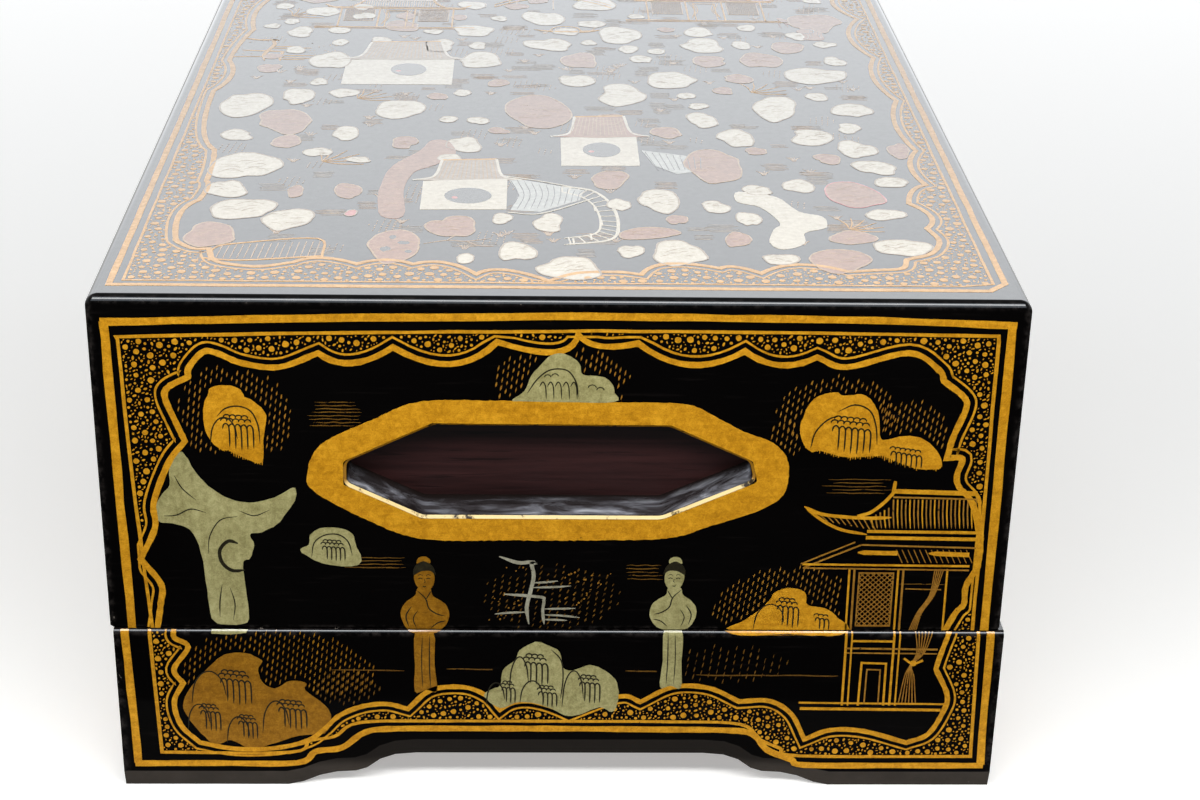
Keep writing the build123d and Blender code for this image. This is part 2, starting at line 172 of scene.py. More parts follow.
def lacquer(name, kind):
    """Black lacquer over wood. kind: case, base or drawer."""
    t = Tree(name)
    x, y, z = t.xyz()
    nx, ny, nz = t.normal()
    fine = t.noise(260, 4, 0.6)
    cloud = t.noise(26, 3, 0.5)
    grain = t.noise(1.0, 3, 0.6, vec=t.scaled(60, 60, 900))
    col = t.mix(cloud, (0.0007, 0.0006, 0.0006), (0.0020, 0.0017, 0.0017))
    col = t.mix(t.step(grain, 0.58, 0.75), col, (0.0032, 0.0027, 0.0026))
    rough = t.mixf(fine, 0.10, 0.22)
    wear = None
    if kind == "case":
        cx, cy = near(t, x, CDX * MM, 0.115, 0.0024), near(t, y, CDY * MM, 0.1725, 0.0024)
        top, low = t.step(z, 0.1376, 0.1400), t.math("SUBTRACT", 1.0, t.step(z, 0.0480, 0.0495))
        ends = t.math("MAXIMUM", top, low)
        wear = t.math("MAXIMUM", t.math("MULTIPLY", cx, cy),
                      t.math("MULTIPLY", ends, t.math("MAXIMUM", cx, cy)))
    elif kind == "base":
        cx, cy = near(t, x, 0.0, 0.115, 0.0024), near(t, y, 0.0, 0.1725, 0.0024)
        top = t.step(z, 0.0458, 0.0480)
        wear = t.math("MAXIMUM", t.math("MULTIPLY", cx, cy), t.math("MULTIPLY", top, t.math("MAXIMUM", cx, cy)))
    if wear is not None:
        # thin rubbed arrises with a few bare chips
        rub = t.math("MULTIPLY", wear, t.step(t.noise(420, 4, 0.65), 0.42, 0.70))
        col = t.mix(t.math("MULTIPLY", rub, 0.55), col, (0.050, 0.043, 0.040))
        chip = t.math("MULTIPLY", t.step(wear, 0.25, 0.6), t.step(t.noise(190, 5, 0.7), 0.665, 0.70))
        col = t.mix(chip, col, t.mix(t.noise(900), (0.10, 0.070, 0.045), (0.36, 0.33, 0.30)))
        rough = t.mixf(rub, rough, 0.5)
        rough = t.mixf(chip, rough, 0.85)
    # the polish is set by which way a face looks, full on top and nearly none on the sides: a fit to the
    # picture's light, not a measured property of the lacquer
    up_face = t.step(nz, 0.25, 0.80)
    coat = t.mixf(up_face, 0.035, t.mixf(t.noise(520, 3, 0.7), 0.86, 1.0) if kind == "case" else 1.0)
    if kind == "base":
        # painted reflection: the down-facing bevel over the feet is coloured a satin grey for the white floor's
        # reflected and bounced light, with lighter flecks, turning darker between 6 and 10 mm up
        down = t.math("MULTIPLY", t.step(t.math("MULTIPLY", nz, -1.0), 0.06, 0.16),
                      t.math("SUBTRACT", 1.0, t.step(z, 0.020, 0.024)))
        floor_reflection_grey = t.mix(t.noise(150, 4, 0.6), (0.026, 0.022, 0.019), (0.050, 0.043, 0.037))
        floor_reflection_grey = t.mix(t.step(t.noise(260, 2, 0.5), 0.72, 0.76), floor_reflection_grey, (0.13, 0.12, 0.11))
        floor_reflection_grey = t.mix(t.step(z, 0.0055, 0.0095), floor_reflection_grey, (0.014, 0.012, 0.0105))
        col = t.mix(down, col, floor_reflection_grey)
        rough = t.mixf(down, rough, 0.55)
    if kind == "case":
        # the walls of the hand holes: a dark brown, with a painted reflection of blue-white light in streaks on the
        # up-facing wall, brightest across the middle of its depth; gilt spread over the arris, with a painted
        # highlight where it faces up
        ax = t.math("ABSOLUTE", t.math("ADD", x, 0.003))
        ay = t.math("ABSOLUTE", t.math("SUBTRACT", y, CDY * MM))
        zone = t.math("MULTIPLY", t.math("MULTIPLY", t.math("SUBTRACT", 1.0, t.step(ax, 0.0555, 0.0565)),
                                         t.math("SUBTRACT", 1.0, t.step(t.math("ABSOLUTE", t.math("SUBTRACT", z, 0.0932)), 0.0150, 0.0155))),
                      t.step(ay, 0.155, 0.1598))
        any_ = t.math("ABSOLUTE", ny)
        arris = t.math("MULTIPLY", zone, t.math("MULTIPLY", t.step(any_, 0.15, 0.35), t.math("SUBTRACT", 1.0, t.step(any_, 0.90, 0.97))))
        wall = t.math("MULTIPLY", zone, t.math("SUBTRACT", 1.0, t.step(any_, 0.10, 0.20)))
        streak = t.noise(1.0, 4, 0.60, vec=t.scaled(60, 190, 190), dist=0.5)
        deep = t.math("DIVIDE", t.math("SUBTRACT", ay, 0.1605), 0.012)
        band = t.math("MULTIPLY", t.step(deep, 0.02, 0.60), t.math("SUBTRACT", 1.0, t.math("MULTIPLY", t.step(deep, 0.84, 0.97), 0.8)))
        # painted reflection: streaky blue-white light for the up-facing wall of the hole
        wall_reflection_col = t.ramp(streak, [(0.30, (0.012, 0.010, 0.010)), (0.44, (0.050, 0.046, 0.050)),
                                  (0.56, (0.20, 0.205, 0.235)), (0.74, (0.75, 0.78, 0.86))])
        lit = t.math("MULTIPLY", t.math("MULTIPLY", wall, band), t.step(nz, 0.1, 0.7))
        col = t.mix(wall, col, (0.010, 0.007, 0.006))
        col = t.mix(lit, col, wall_reflection_col)
        # painted highlight: the arris gilt is much lighter where it faces up
        gilt_and_highlight = t.mix(t.step(t.noise(230, 4, 0.6), 0.34, 0.44), (0.03, 0.02, 0.010), t.mix(t.step(nz, 0.1, 0.6), (0.30, 0.14, 0.008), (0.80, 0.62, 0.30)))
        col = t.mix(arris, col, gilt_and_highlight)
        coat = t.mixf(arris, coat, 0.3)
        rough = t.mixf(arris, rough, 0.4)
        rough = t.mixf(wall, rough, t.mixf(streak, 0.15, 0.5))
    t.base(col, rough, Specular_IOR_Level=0.0, Coat_Weight=coat, Coat_Roughness=0.07, Coat_IOR=1.5)
    waves = t.math("ADD", t.math("MULTIPLY", t.noise(38, 2, 0.4), 1.0), t.math("MULTIPLY", fine, 0.10))
    t.bump(waves, 0.10, 0.0012)
    return t.m


def wood(name, dark, light, along="y", rough=0.5):
    """Stained wood with fine grain along one axis."""
    t = Tree(name)
    s = {"x": (18, 420, 420), "y": (420, 18, 420), "z": (420, 420, 18)}[along]
    lines = t.noise(1.0, 4, 0.65, vec=t.scaled(*s), dist=0.4)
    wide = t.noise(1.0, 2, 0.5, vec=t.scaled(*[v * 0.16 for v in s]), dist=0.8)
    pores = t.step(t.noise(1.0, 2, 0.5, vec=t.scaled(*[v * 3.2 for v in s])), 0.62, 0.72)
    mid = [(a + b) / 2 for a, b in zip(dark, light)]
    col = t.ramp(t.math("ADD", t.math("MULTIPLY", lines, 0.6), t.math("MULTIPLY", wide, 0.4)),
                 [(0.32, dark), (0.52, mid), (0.70, light)])
    col = t.mix(t.math("MULTIPLY", pores, 0.6), col, [c * 0.35 for c in dark])
    t.base(col, t.mixf(lines, rough - 0.08, rough + 0.12), Specular_IOR_Level=0.35)
    t.bump(t.math("SUBTRACT", lines, t.math("MULTIPLY", pores, 0.5)), 0.25, 0.0003)
    return t.m


def paint(name, dark, mid, light, metal, rough, stroke=(160, 160, 1100), speck=0.69, over=0.85):
    """Lacquer painting: uneven powder and brush marks, flecked where it has lifted."""
    t = Tree(name)
    brush = t.noise(1.0, 3, 0.6, vec=t.scaled(*stroke))
    dust = t.noise(3200, 2, 0.6)
    blot = t.noise(120, 4, 0.6)
    mid_ = t.noise(620, 4, 0.65, dist=0.6)
    v = t.math("ADD", t.math("ADD", t.math("MULTIPLY", brush, 0.16), t.math("MULTIPLY", mid_, 0.40)),
               t.math("ADD", t.math("MULTIPLY", dust, 0.26), t.math("MULTIPLY", blot, 0.18)))
    col = t.ramp(v, [(0.38, dark), (0.50, mid), (0.61, light)])
    lost = t.step(t.noise(700, 4, 0.7), speck, speck + 0.03)
    col = t.mix(lost, col, [c * 0.10 for c in dark])
    nz = t.normal()[2]
    t.base(col, t.mixf(dust, rough - 0.08, rough + 0.14), Metallic=metal, Specular_IOR_Level=0.12,
           Coat_Weight=t.mixf(t.step(nz, 0.25, 0.80), 0.0, over), Coat_Roughness=0.08, Coat_IOR=1.5)
    t.bump(t.math("ADD", brush, t.math("MULTIPLY", dust, 0.5)), 0.22, 0.00012)
    return t.m


def metal(name):
    """Old brass: bright where rubbed, brown in the hollows."""
    t = Tree(name)
    a, b = t.noise(420, 4, 0.6), t.noise(1900, 3, 0.6)
    col = t.ramp(a, [(0.32, (0.16, 0.085, 0.025)), (0.50, (0.46, 0.29, 0.085)), (0.68, (0.72, 0.50, 0.19))])
    t.base(col, t.mixf(b, 0.22, 0.48), Metallic=1.0)
    t.bump(b, 0.12, 0.0001)
    return t.m


M = {
    "case": lacquer("black_lacquer_case", "case"),
    "base": lacquer("black_lacquer_base", "base"),
    "drawer": lacquer("black_lacquer_drawer", "drawer"),
    "panel": wood("red_brown_panel", (0.0060, 0.0022, 0.0022), (0.040, 0.0135, 0.0130), "x", 0.45),
    "wood_y": wood("stained_wood_y", (0.050, 0.016, 0.010), (0.135, 0.050, 0.030), "y"),
    "wood_x": wood("stained_wood_x", (0.050, 0.016, 0.010), (0.135, 0.050, 0.030), "x"),
    "brass": metal("old_brass"),
    "gold": paint("gilt_paint", (0.33, 0.140, 0.004), (0.50, 0.230, 0.008), (0.66, 0.330, 0.018), 0.10, 0.45),
    "gold_deep": paint("gilt_paint_deep", (0.145, 0.058, 0.002), (0.225, 0.098, 0.004), (0.320, 0.148, 0.008), 0.10, 0.45),
    "gold_dim": paint("gilt_paint_thin", (0.18, 0.078, 0.008), (0.27, 0.125, 0.014), (0.38, 0.185, 0.025), 0.10, 0.50, speck=0.62),
    "gold_faint": paint("gilt_paint_faint", (0.060, 0.026, 0.003), (0.100, 0.046, 0.005), (0.150, 0.074, 0.009), 0.0, 0.50, speck=0.60),
    "bone": paint("bone_paint", (0.17, 0.162, 0.115), (0.25, 0.240, 0.180), (0.33, 0.320, 0.250), 0.0, 0.50, stroke=(900, 900, 120), speck=0.66),
    "green": paint("green_paint", (0.175, 0.158, 0.060), (0.275, 0.252, 0.108), (0.375, 0.350, 0.165), 0.0, 0.50, stroke=(900, 900, 120), speck=0.74),
    "ink": paint("ink_line", (0.006, 0.005, 0.002), (0.012, 0.010, 0.004), (0.022, 0.018, 0.007), 0.0, 0.5, speck=0.9),
    "top_gold": paint("gilt_paint_top", (0.44, 0.205, 0.035), (0.58, 0.300, 0.072), (0.72, 0.400, 0.125), 0.0, 0.45, stroke=(300, 900, 300), over=0.50),
    "top_thin": paint("gilt_paint_top_thin", (0.25, 0.135, 0.055), (0.35, 0.205, 0.095), (0.45, 0.290, 0.150), 0.0, 0.45, stroke=(300, 900, 300), speck=0.66, over=0.68),
    "cream": paint("cream_paint", (0.40, 0.340, 0.235), (0.49, 0.428, 0.318), (0.58, 0.518, 0.405), 0.0, 0.55, stroke=(300, 900, 300), speck=0.74),
    "fawn": paint("fawn_paint", (0.24, 0.175, 0.115), (0.32, 0.245, 0.170), (0.41, 0.325, 0.240), 0.0, 0.55, stroke=(300, 900, 300), speck=0.72, over=0.70),
    "salmon": paint("salmon_paint", (0.200, 0.085, 0.042), (0.290, 0.135, 0.075), (0.380, 0.200, 0.120), 0.0, 0.55, stroke=(300, 900, 300), speck=0.72, over=0.72),
    "red": paint("red_paint", (0.32, 0.050, 0.035), (0.42, 0.075, 0.055), (0.50, 0.12, 0.09), 0.0, 0.5, speck=0.8),
    "pale": paint("pale_paint", (0.24, 0.240, 0.215), (0.33, 0.330, 0.295), (0.42, 0.420, 0.380), 0.0, 0.55, stroke=(300, 900, 300), speck=0.76),
}


def wear(name, key):
    o = nodes[name]
    o.data.materials.clear()
    o.data.materials.append(M[key])


for n in nodes:
    if "pull" in n:
        wear(n, "brass")
    elif n in ("base_floor_board",):
        wear(n, "wood_y")
    elif n == "base_locating_strips" or n == "base_corner_blocks":
        wear(n, "wood_x")
    elif n.startswith("base_"):
        wear(n, "base")
    elif n.endswith("backing_panel"):
        wear(n, "panel")
    elif n.startswith("drawer_") and n.endswith("_front"):
        wear(n, "drawer")
    elif n.endswith("drawer_divider"):
        wear(n, "drawer")
    elif n.startswith("drawer_"):
        wear(n, "wood_y" if n.endswith(("back", "bottom")) else "wood_x")
    elif n in ("case_bottom_board",):
        wear(n, "wood_y")
    elif n.endswith("_shelf"):
        wear(n, "drawer")
    else:
        wear(n, "case")


# =====================================================================
# painted work: thin raised shapes laid on a face
# =====================================================================
def area2(p):
    return sum(p[i - 1][0] * p[i][1] - p[i][0] * p[i - 1][1] for i in range(len(p))) / 2


def clip(p, c, above):
    out = []
    for i in range(len(p)):
        a, b = p[i - 1], p[i]
        ia, ib = (a[1] >= c, b[1] >= c) if above else (a[1] <= c, b[1] <= c)
        if ia != ib:
            s = (c - a[1]) / (b[1] - a[1])
            out.append((a[0] + s * (b[0] - a[0]), c))
        if ib:
            out.append(b)
    return out


def smooth(pts, n=6, closed=False):
    """A Catmull-Rom curve through the points."""
    m = len(pts)
    if m < 3 and not closed:
        return list(pts)
    out = []
    for i in range(m if closed else m - 1):
        p1, p2 = pts[i], pts[(i + 1) % m]
        p0 = pts[i - 1] if closed or i > 0 else (2 * p1[0] - p2[0], 2 * p1[1] - p2[1])
        p3 = pts[(i + 2) % m] if closed or i + 2 < m else (2 * p2[0] - p1[0], 2 * p2[1] - p1[1])
        for k in range(n):
            t = k / n
            out.append(tuple(0.5 * (2 * p1[j] + (p2[j] - p0[j]) * t + (2 * p0[j] - 5 * p1[j] + 4 * p2[j] - p3[j]) * t * t
                                    + (3 * p1[j] - p0[j] - 3 * p2[j] + p3[j]) * t ** 3) for j in (0, 1)))
    if not closed:
        out.append(pts[-1])
    return out


def swag(a, m, b, n=9):
    """A curve from a to b that passes its middle at m."""
    c = (2 * m[0] - (a[0] + b[0]) / 2, 2 * m[1] - (a[1] + b[1]) / 2)
    return [((1 - t) ** 2 * a[0] + 2 * t * (1 - t) * c[0] + t * t * b[0],
             (1 - t) ** 2 * a[1] + 2 * t * (1 - t) * c[1] + t * t * b[1]) for t in (k / n for k in range(n + 1))]


def chain(parts):
    out = []
    for p in parts:
        for q in p:
            if not out or math.dist(out[-1], q) > 0.02:
                out.append(q)
    return out


def normals(pts, closed):
    n, out = len(pts), []
    for i in range(n):
        a = pts[i - 1] if closed or i > 0 else pts[i]
        b = pts[(i + 1) % n] if closed or i < n - 1 else pts[i]
        p = pts[i]
        d1 = (p[0] - a[0], p[1] - a[1])
        d2 = (b[0] - p[0], b[1] - p[1])
        l1, l2 = math.hypot(*d1) or 1e-9, math.hypot(*d2) or 1e-9
        if a is p:
            d1, l1 = d2, l2
        if b is p:
            d2, l2 = d1, l1
        n1, n2 = (-d1[1] / l1, d1[0] / l1), (-d2[1] / l2, d2[0] / l2)
        s = (n1[0] + n2[0], n1[1] + n2[1])
        l = math.hypot(*s)
        if l < 1e-6:
            s, l = n1, 1.0
        s = (s[0] / l, s[1] / l)
        k = 1 / max(s[0] * n1[0] + s[1] * n1[1], 0.62)
        out.append((s[0] * k, s[1] * k))
    return out


def offset(pts, d, closed=False):
    return [(p[0] + n[0] * d, p[1] + n[1] * d) for p, n in zip(pts, normals(pts, closed))]


def resample(pts, step, closed=False):
    src = list(pts) + ([pts[0]] if closed else [])
    out, carry = [], 0.0
    for a, b in zip(src, src[1:]):
        l = math.dist(a, b)
        if l < 1e-9:
            continue
        s = carry
        while s < l:
            out.append((a[0] + (b[0] - a[0]) * s / l, a[1] + (b[1] - a[1]) * s / l))
            s += step
        carry = s - l
    if not closed:
        out.append(src[-1])
    return out


class Skin:
    """Everything painted on one face of one body."""

    def __init__(self, body, tag, place, lo=-1e4, hi=1e4, cuts=()):
        self.body, self.tag, self.place, self.lo, self.hi, self.cuts = body, tag, place, lo, hi, cuts
        self.sets = {}
        self.count = 0
        self.swap = {}
        self.thin = 1.0
        self.rng = random.Random(tag)

    def lift(self):
        """Coats that cross never share a plane."""
        self.count += 1
        return (self.count * 5 % 17) * 0.0018 * self.thin

    def buf(self, f):
        return self.sets.setdefault(self.swap.get(f, f), ([], []))

    def solid(self, f, pts, top, base):
        top, base = top * self.thin, base * self.thin
        if area2(pts) < 0:
            pts = pts[::-1]
        vs, fs = self.buf(f)
        k, n = len(vs), len(pts)
        vs += [self.place(u, v, base) for u, v in pts]
        vs += [self.place(u, v, top) for u, v in pts]
        fs.append(tuple(range(k + n, k + 2 * n)))
        fs.append(tuple(range(k + n - 1, k - 1, -1)))
        for i in range(n):
            j = (i + 1) % n
            fs.append((k + i, k + j, k + n + j, k + n + i))

    def bands(self):
        return [self.lo] + [c for c in self.cuts if self.lo < c < self.hi] + [self.hi]

    def poly(self, f, pts, top=0.10, base=0.0, lift=None):
        top += self.lift() / self.thin if lift is None else lift
        v0, v1 = min(p[1] for p in pts), max(p[1] for p in pts)
        if v1 <= self.lo or v0 >= self.hi:
            return
        e = self.bands()
        for a, b in zip(e, e[1:]):
            if v1 <= a or v0 >= b:
                continue
            q = clip(pts, a, True) if v0 < a else pts
            q = clip(q, b, False) if v1 > b and q else q
            if len(q) >= 3 and abs(area2(q)) > 2e-3:
                self.solid(f, q, top, base)

    def ribbon(self, f, pts, w, top=0.10, base=0.0, closed=False, taper=0.0, rag=0.05):
        if taper and len(pts) < 5:
            pts = resample(pts, sum(math.dist(a, b) for a, b in zip(pts, pts[1:])) / 6.001)
        n = len(pts)
        if n < 2:
            return
        lift = self.lift() / self.thin
        ws = []
        for i in range(n):
            t = i / (n - 1)
            k = 1.0
            if taper and not closed:
                e = min(t, 1 - t) / taper if taper > 0 else 1
                k = 0.25 + 0.75 * math.sin(min(e, 1.0) * math.pi / 2)
            ws.append((w * k * (1 + self.rng.uniform(-rag, rag))) / 2)
        nn = normals(pts, closed)
        L = [(p[0] + a[0] * h, p[1] + a[1] * h) for p, a, h in zip(pts, nn, ws)]
        R = [(p[0] - a[0] * h, p[1] - a[1] * h) for p, a, h in zip(pts, nn, ws)]
        v0, v1 = min(p[1] for p in L + R), max(p[1] for p in L + R)
        e = self.bands()
        whole = any(a <= v0 and v1 <= b for a, b in zip(e, e[1:]))
        if not whole:
            if v1 <= self.lo or v0 >= self.hi:
                return
            for i in range(n if closed else n - 1):
                j = (i + 1) % n
                self.poly(f, [R[i], R[j], L[j], L[i]], top, base, lift)
            return
        top += lift
        top, base = top * self.thin, base * self.thin
        vs, fs = self.buf(f)
        k = len(vs)
        for l, r in zip(L, R):
            vs += [self.place(*r, base), self.place(*l, base), self.place(*l, top), self.place(*r, top)]
        for i in range(n if closed else n - 1):
            a, b = k + 4 * i, k + 4 * ((i + 1) % n)
            fs += [(a + 3, b + 3, b + 2, a + 2), (a + 1, b + 1, b, a), (a, b, b + 3, a + 3), (a + 2, b + 2, b + 1, a + 1)]
        if not closed:
            z = k + 4 * (n - 1)
            fs += [(k, k + 3, k + 2, k + 1), (z + 1, z + 2, z + 3, z)]

    def dot(self, f, u, v, r, top=0.10, base=0.0, sides=8, squash=1.0, turn=0.0):
        ca, sa = math.cos(turn), math.sin(turn)
        pts = []
        for i in range(sides):
            a = 2 * math.pi * i / sides
            x, y = r * math.cos(a) * self.rng.uniform(0.88, 1.08), r * squash * math.sin(a) * self.rng.uniform(0.88, 1.08)
            pts.append((u + x * ca - y * sa, v + x * sa + y * ca))
        self.poly(f, pts, top, base, 0.0)

    def build(self):
        made = []
        for f, (vs, fs) in sorted(self.sets.items()):
            name = f"{self.tag}_{f}_painting" if f != "ink" else f"{self.tag}_ink_lines"
            me = bpy.data.meshes.new(name)
            me.from_pydata([(x * MM, y * MM, z * MM) for x, y, z in vs], [], fs)
            me.validate()
            me.update()
            o = bpy.data.objects.new(name, me)
            bpy.context.scene.collection.objects.link(o)
            me.materials.append(M[f])
            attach(o, self.body)
            made.append(o)
        return made


def flat(o, u, v, n):
    """Placement on a plane: origin, the two directions and the outward normal, in mm."""
    return lambda a, b, h: (o[0] + u[0] * a + v[0] * b + n[0] * h, o[1] + u[1] * a + v[1] * b + n[1] * h,
                            o[2] + u[2] * a + v[2] * b + n[2] * h)


RIM_R = 1.4


def rimmed(o, u, n):
    """Placement on a wall of the base, which curves in under the rim's rounded arris."""
    z0 = 48.0 - RIM_R

    def place(a, b, h):
        if b <= z0:
            out, z, s, c = h, b, 0.0, 1.0
        else:
            f = min((b - z0) / RIM_R, math.pi / 2)
            s, c = math.sin(f), math.cos(f)
            out, z = -RIM_R * (1 - c) + h * c, z0 + RIM_R * s + h * s
        return (o[0] + u[0] * a + n[0] * out, o[1] + u[1] * a + n[1] * out, z)
    return place


RIM_CUTS = (46.6, 47.1, 47.6, 48.1)


# ------------------------------------------------------------- motifs
def even_odd(P, poly):
    x, y = P[:, 0], P[:, 1]
    q = np.asarray(poly, float)
    inside = np.zeros(len(P), bool)
    for (x1, y1), (x2, y2) in zip(q, np.roll(q, -1, 0)):
        if y1 == y2:
            continue
        cond = (y1 > y) != (y2 > y)
        inside ^= cond & (x < (x2 - x1) * (y - y1) / (y2 - y1) + x1)
    return inside


def clearance(P, samples):
    out = np.full(len(P), 1e9)
    S = np.asarray(samples, float)
    for i in range(0, len(P), 2000):
        d = P[i:i + 2000, None, :] - S[None, :, :]
        out[i:i + 2000] = np.sqrt((d ** 2).sum(2).min(1))
    return out


def speckle(sk, f, outer, inner, seed, gap=0.55, big=0.95, per=1.0, holes=(), lo=-1e9, hi=1e9, ticks=True, tiny=1.0):
    """Gold spots of three sizes, scattered between two closed outlines."""
    rs = np.random.RandomState(seed)
    rng = random.Random(seed)
    o = np.asarray(outer, float)
    x0, y0, x1, y1 = o[:, 0].min(), max(o[:, 1].min(), lo), o[:, 0].max(), min(o[:, 1].max(), hi)
    samples = resample(outer, 0.7, True) + (resample(inner, 0.7, True) if inner else [])
    for h in holes:
        samples += resample(h, 0.7, True)
    placed, cell = {}, 2.0

    def ok(p, r, sep):
        cx, cy = int(p[0] // cell), int(p[1] // cell)
        for i in range(cx - 2, cx + 3):
            for j in range(cy - 2, cy + 3):
                for q in placed.get((i, j), ()):
                    if math.dist(p, q[:2]) < r + q[2] + sep:
                        return False
        return True

    area = (x1 - x0) * (y1 - y0)
    for kind, dens, r0, r1, sep in (("big", 0.9, big * 0.78, big * 1.12, 1.15), ("mid", 1.3, big * 0.36, big * 0.55, 0.55),
                                    ("tiny", 4.2 * tiny, 0.13, 0.26, 0.34)):
        n = int(area * dens * per)
        P = np.column_stack((rs.uniform(x0, x1, n), rs.uniform(y0, y1, n)))
        keep = even_odd(P, outer)
        if inner:
            keep &= ~even_odd(P, inner)
        for h in holes:
            keep &= ~even_odd(P, h)
        P = P[keep]
        d = clearance(P, samples)
        for p, c in zip(P, d):
            r = rng.uniform(r0, r1)
            if c < r + gap or not ok(p, r, sep):
                continue
            placed.setdefault((int(p[0] // cell), int(p[1] // cell)), []).append((p[0], p[1], r))
            if kind == "tiny" and ticks and rng.random() < 0.45:
                sk.dot(f, p[0], p[1], r * 2.1, sides=5, squash=0.40, turn=rng.uniform(0.2, 1.9), top=0.07)
            elif kind == "mid" and ticks and rng.random() < 0.4:
                sk.dot(f, p[0], p[1], r * 1.4, sides=7, squash=0.55, turn=rng.uniform(0.2, 1.9), top=0.09)
            else:
                sk.dot(f, p[0], p[1], r, sides=5 if kind == "tiny" else (7 if kind == "mid" else 10),
                       top=0.07 if kind == "tiny" else 0.11)


def hatch(sk, f, cx, cy, rx, ry, keep_out=(), lean=14, pitch=1.25, length=1.55, w=0.36, seed=1, within=None, drop=0.42, foot=-1e9):
    """Short slanting dashes in staggered ranks, thinning out at the edges."""
    rng = random.Random(seed)
    a = math.radians(90 - lean)
    du, dv = math.cos(a), math.sin(a)
    pts = []
    rank = length * 1.42
    n, m = int(rx / pitch) + 3, int(ry / rank) + 3
    for i in range(-n, n + 1):
        for j in range(-m * 2, m * 2 + 1):
            v = j * rank - i * drop * rank + rng.uniform(-0.10, 0.10)
            v = (v + ry * 3) % (rank * 2 * m) - rank * m
            u = i * pitch + v * 0.12 + rng.uniform(-0.10, 0.10)
            q = (u / rx) ** 2 + (v / ry) ** 2
            if q > 1 or (q > 0.60 and rng.random() < (q - 0.60) * 1.5):
                continue
            pts.append((cx + u, cy + v))
    if not pts:
        return
    P = np.array(sorted(set((round(x, 3), round(y, 3)) for x, y in pts if y > foot)))
    if not len(P):
        return
    keep = np.ones(len(P), bool)
    for k in keep_out:
        keep &= ~even_odd(P, k)
        keep &= clearance(P, resample(k, 0.8, True)) > 0.85
    if within is not None:
        keep &= even_odd(P, within)
        keep &= clearance(P, resample(within, 0.8, True)) > 1.6
    for u, v in P[keep]:
        l = length * rng.uniform(0.75, 1.15) / 2
        h = w * rng.uniform(0.75, 1.15) / 2
        x, y = -dv * h, du * h
        sk.poly(f, [(u - du * l, v - dv * l), (u - x * 0.9, v - y * 0.9), (u + du * l, v + dv * l), (u + x, v + y)], 0.06)


def fringe(sk, f, pts, seed=0, l=0.9, w=0.42):
    """The ragged brush ends that hang from the foot of a rock."""
    rng = random.Random(seed)
    for x, y in resample(pts, 0.62):
        d = l * rng.uniform(0.3, 1.2)
        sk.poly(f, [(x - w / 2, y + 0.5), (x - w * 0.10, y - d), (x + w * 0.14, y - d), (x + w / 2, y + 0.5)], 0.095)


def folds(sk, cx, cy, s, n=5, drop=6.0, step=0.30, rows=3, w=0.36, top=0.14):
    """Folds of a rock: a heap of scales from which long rounded fingers fall, stepping down to the right."""
    base = 0.085
    for j in range(rows):
        c = n - rows + j + 1
        for k in range(max(c, 1)):
            x, y = cx - s * 0.35 + (k - (c - 1) / 2) * 1.16 * s, cy + (rows - j) * 0.80 * s - k * step * s * 0.8
            sk.ribbon("ink", [(x + 0.66 * s * math.cos(math.radians(a)), y + 0.60 * s * math.sin(math.radians(a))) for a in range(-8, 189, 28)], w, top, base, taper=0.2)
    for k in range(n):
        x, y = cx + (k - (n - 1) / 2) * 1.18 * s, cy - k * step * s
        d = drop * (1.0 - 0.05 * abs(k - n * 0.4)) - k * step * s * 0.3
        sk.ribbon("ink", smooth([(x - 0.66 * s, y - 0.95 * s), (x - 0.45 * s, y - 0.10 * s), (x, y + 0.22 * s), (x + 0.45 * s, y - 0.12 * s), (x + 0.64 * s, y - 0.9 * s),
                                 (x + 0.66 * s, y - d * 0.6), (x + 0.60 * s, y - d)], 5), w * 1.08, top, base, taper=0.12)


def scales(sk, cx, cy, s, rows=3, cols=3, drop=4.0, n_drop=4, ink="ink", w=0.30, lean=1):
    """The rock painters' mark: a heap of little arcs with long folds falling from it."""
    base, top = 0.085, 0.125

    def arc(x, y, r, a0, a1, ww=w, squash=0.85):
        m = 7
        sk.ribbon(ink, [(x + r * math.cos(math.radians(a0 + (a1 - a0) * k / m)),
                         y + r * squash * math.sin(math.radians(a0 + (a1 - a0) * k / m))) for k in range(m + 1)], ww, top, base, taper=0.25)
    for j in range(rows):
        c = cols + j - 1
        for k in range(c):
            arc(cx + (k - (c - 1) / 2) * 1.15 * s + 0.18 * s * j * lean, cy - j * 0.72 * s, 0.66 * s, 5, 175)
    y = cy - rows * 0.72 * s + 0.25 * s
    x0 = cx - (n_drop - 1) * 0.62 * s
    for k in range(n_drop):
        x = x0 + k * 1.20 * s
        d = drop * (0.85 + 0.08 * k)
        sk.ribbon(ink, smooth([(x - 0.45 * s, y - 0.35 * s), (x, y + 0.28 * s), (x + 0.55 * s * lean, y - 0.25 * s),
                               (x + 0.78 * s * lean, y - 0.35 * d), (x + 0.74 * s * lean, y - 0.7 * d), (x + 0.66 * s * lean, y - d)], 5),
                  w * 1.05, top, base, taper=0.2)
    return y


def big_arc(sk, x0, x1, ybase, h, w=0.34, ink="ink", up=1.0):
    """One long fold that rises from the left foot of a rock and falls to the right."""
    sk.ribbon(ink, smooth([(x0, ybase), (x0 + (x1 - x0) * 0.10, ybase + h * 0.60), (x0 + (x1 - x0) * 0.34, ybase + h * 0.95),
                           (x0 + (x1 - x0) * 0.64, ybase + h), (x0 + (x1 - x0) * 0.90, ybase + h * 0.72),
                           (x1, ybase + h * 0.25 * up)], 6), w, 0.125, 0.085, taper=0.15)


def blob(sk, f, pts, n=5, top=0.10, wobble=0.10, seed=0):
    rng = random.Random(seed)
    q = smooth(pts, n, True)
    q = [(x + rng.uniform(-wobble, wobble), y + rng.uniform(-wobble, wobble)) for x, y in q]
    sk.poly(f, q, top)
    return q


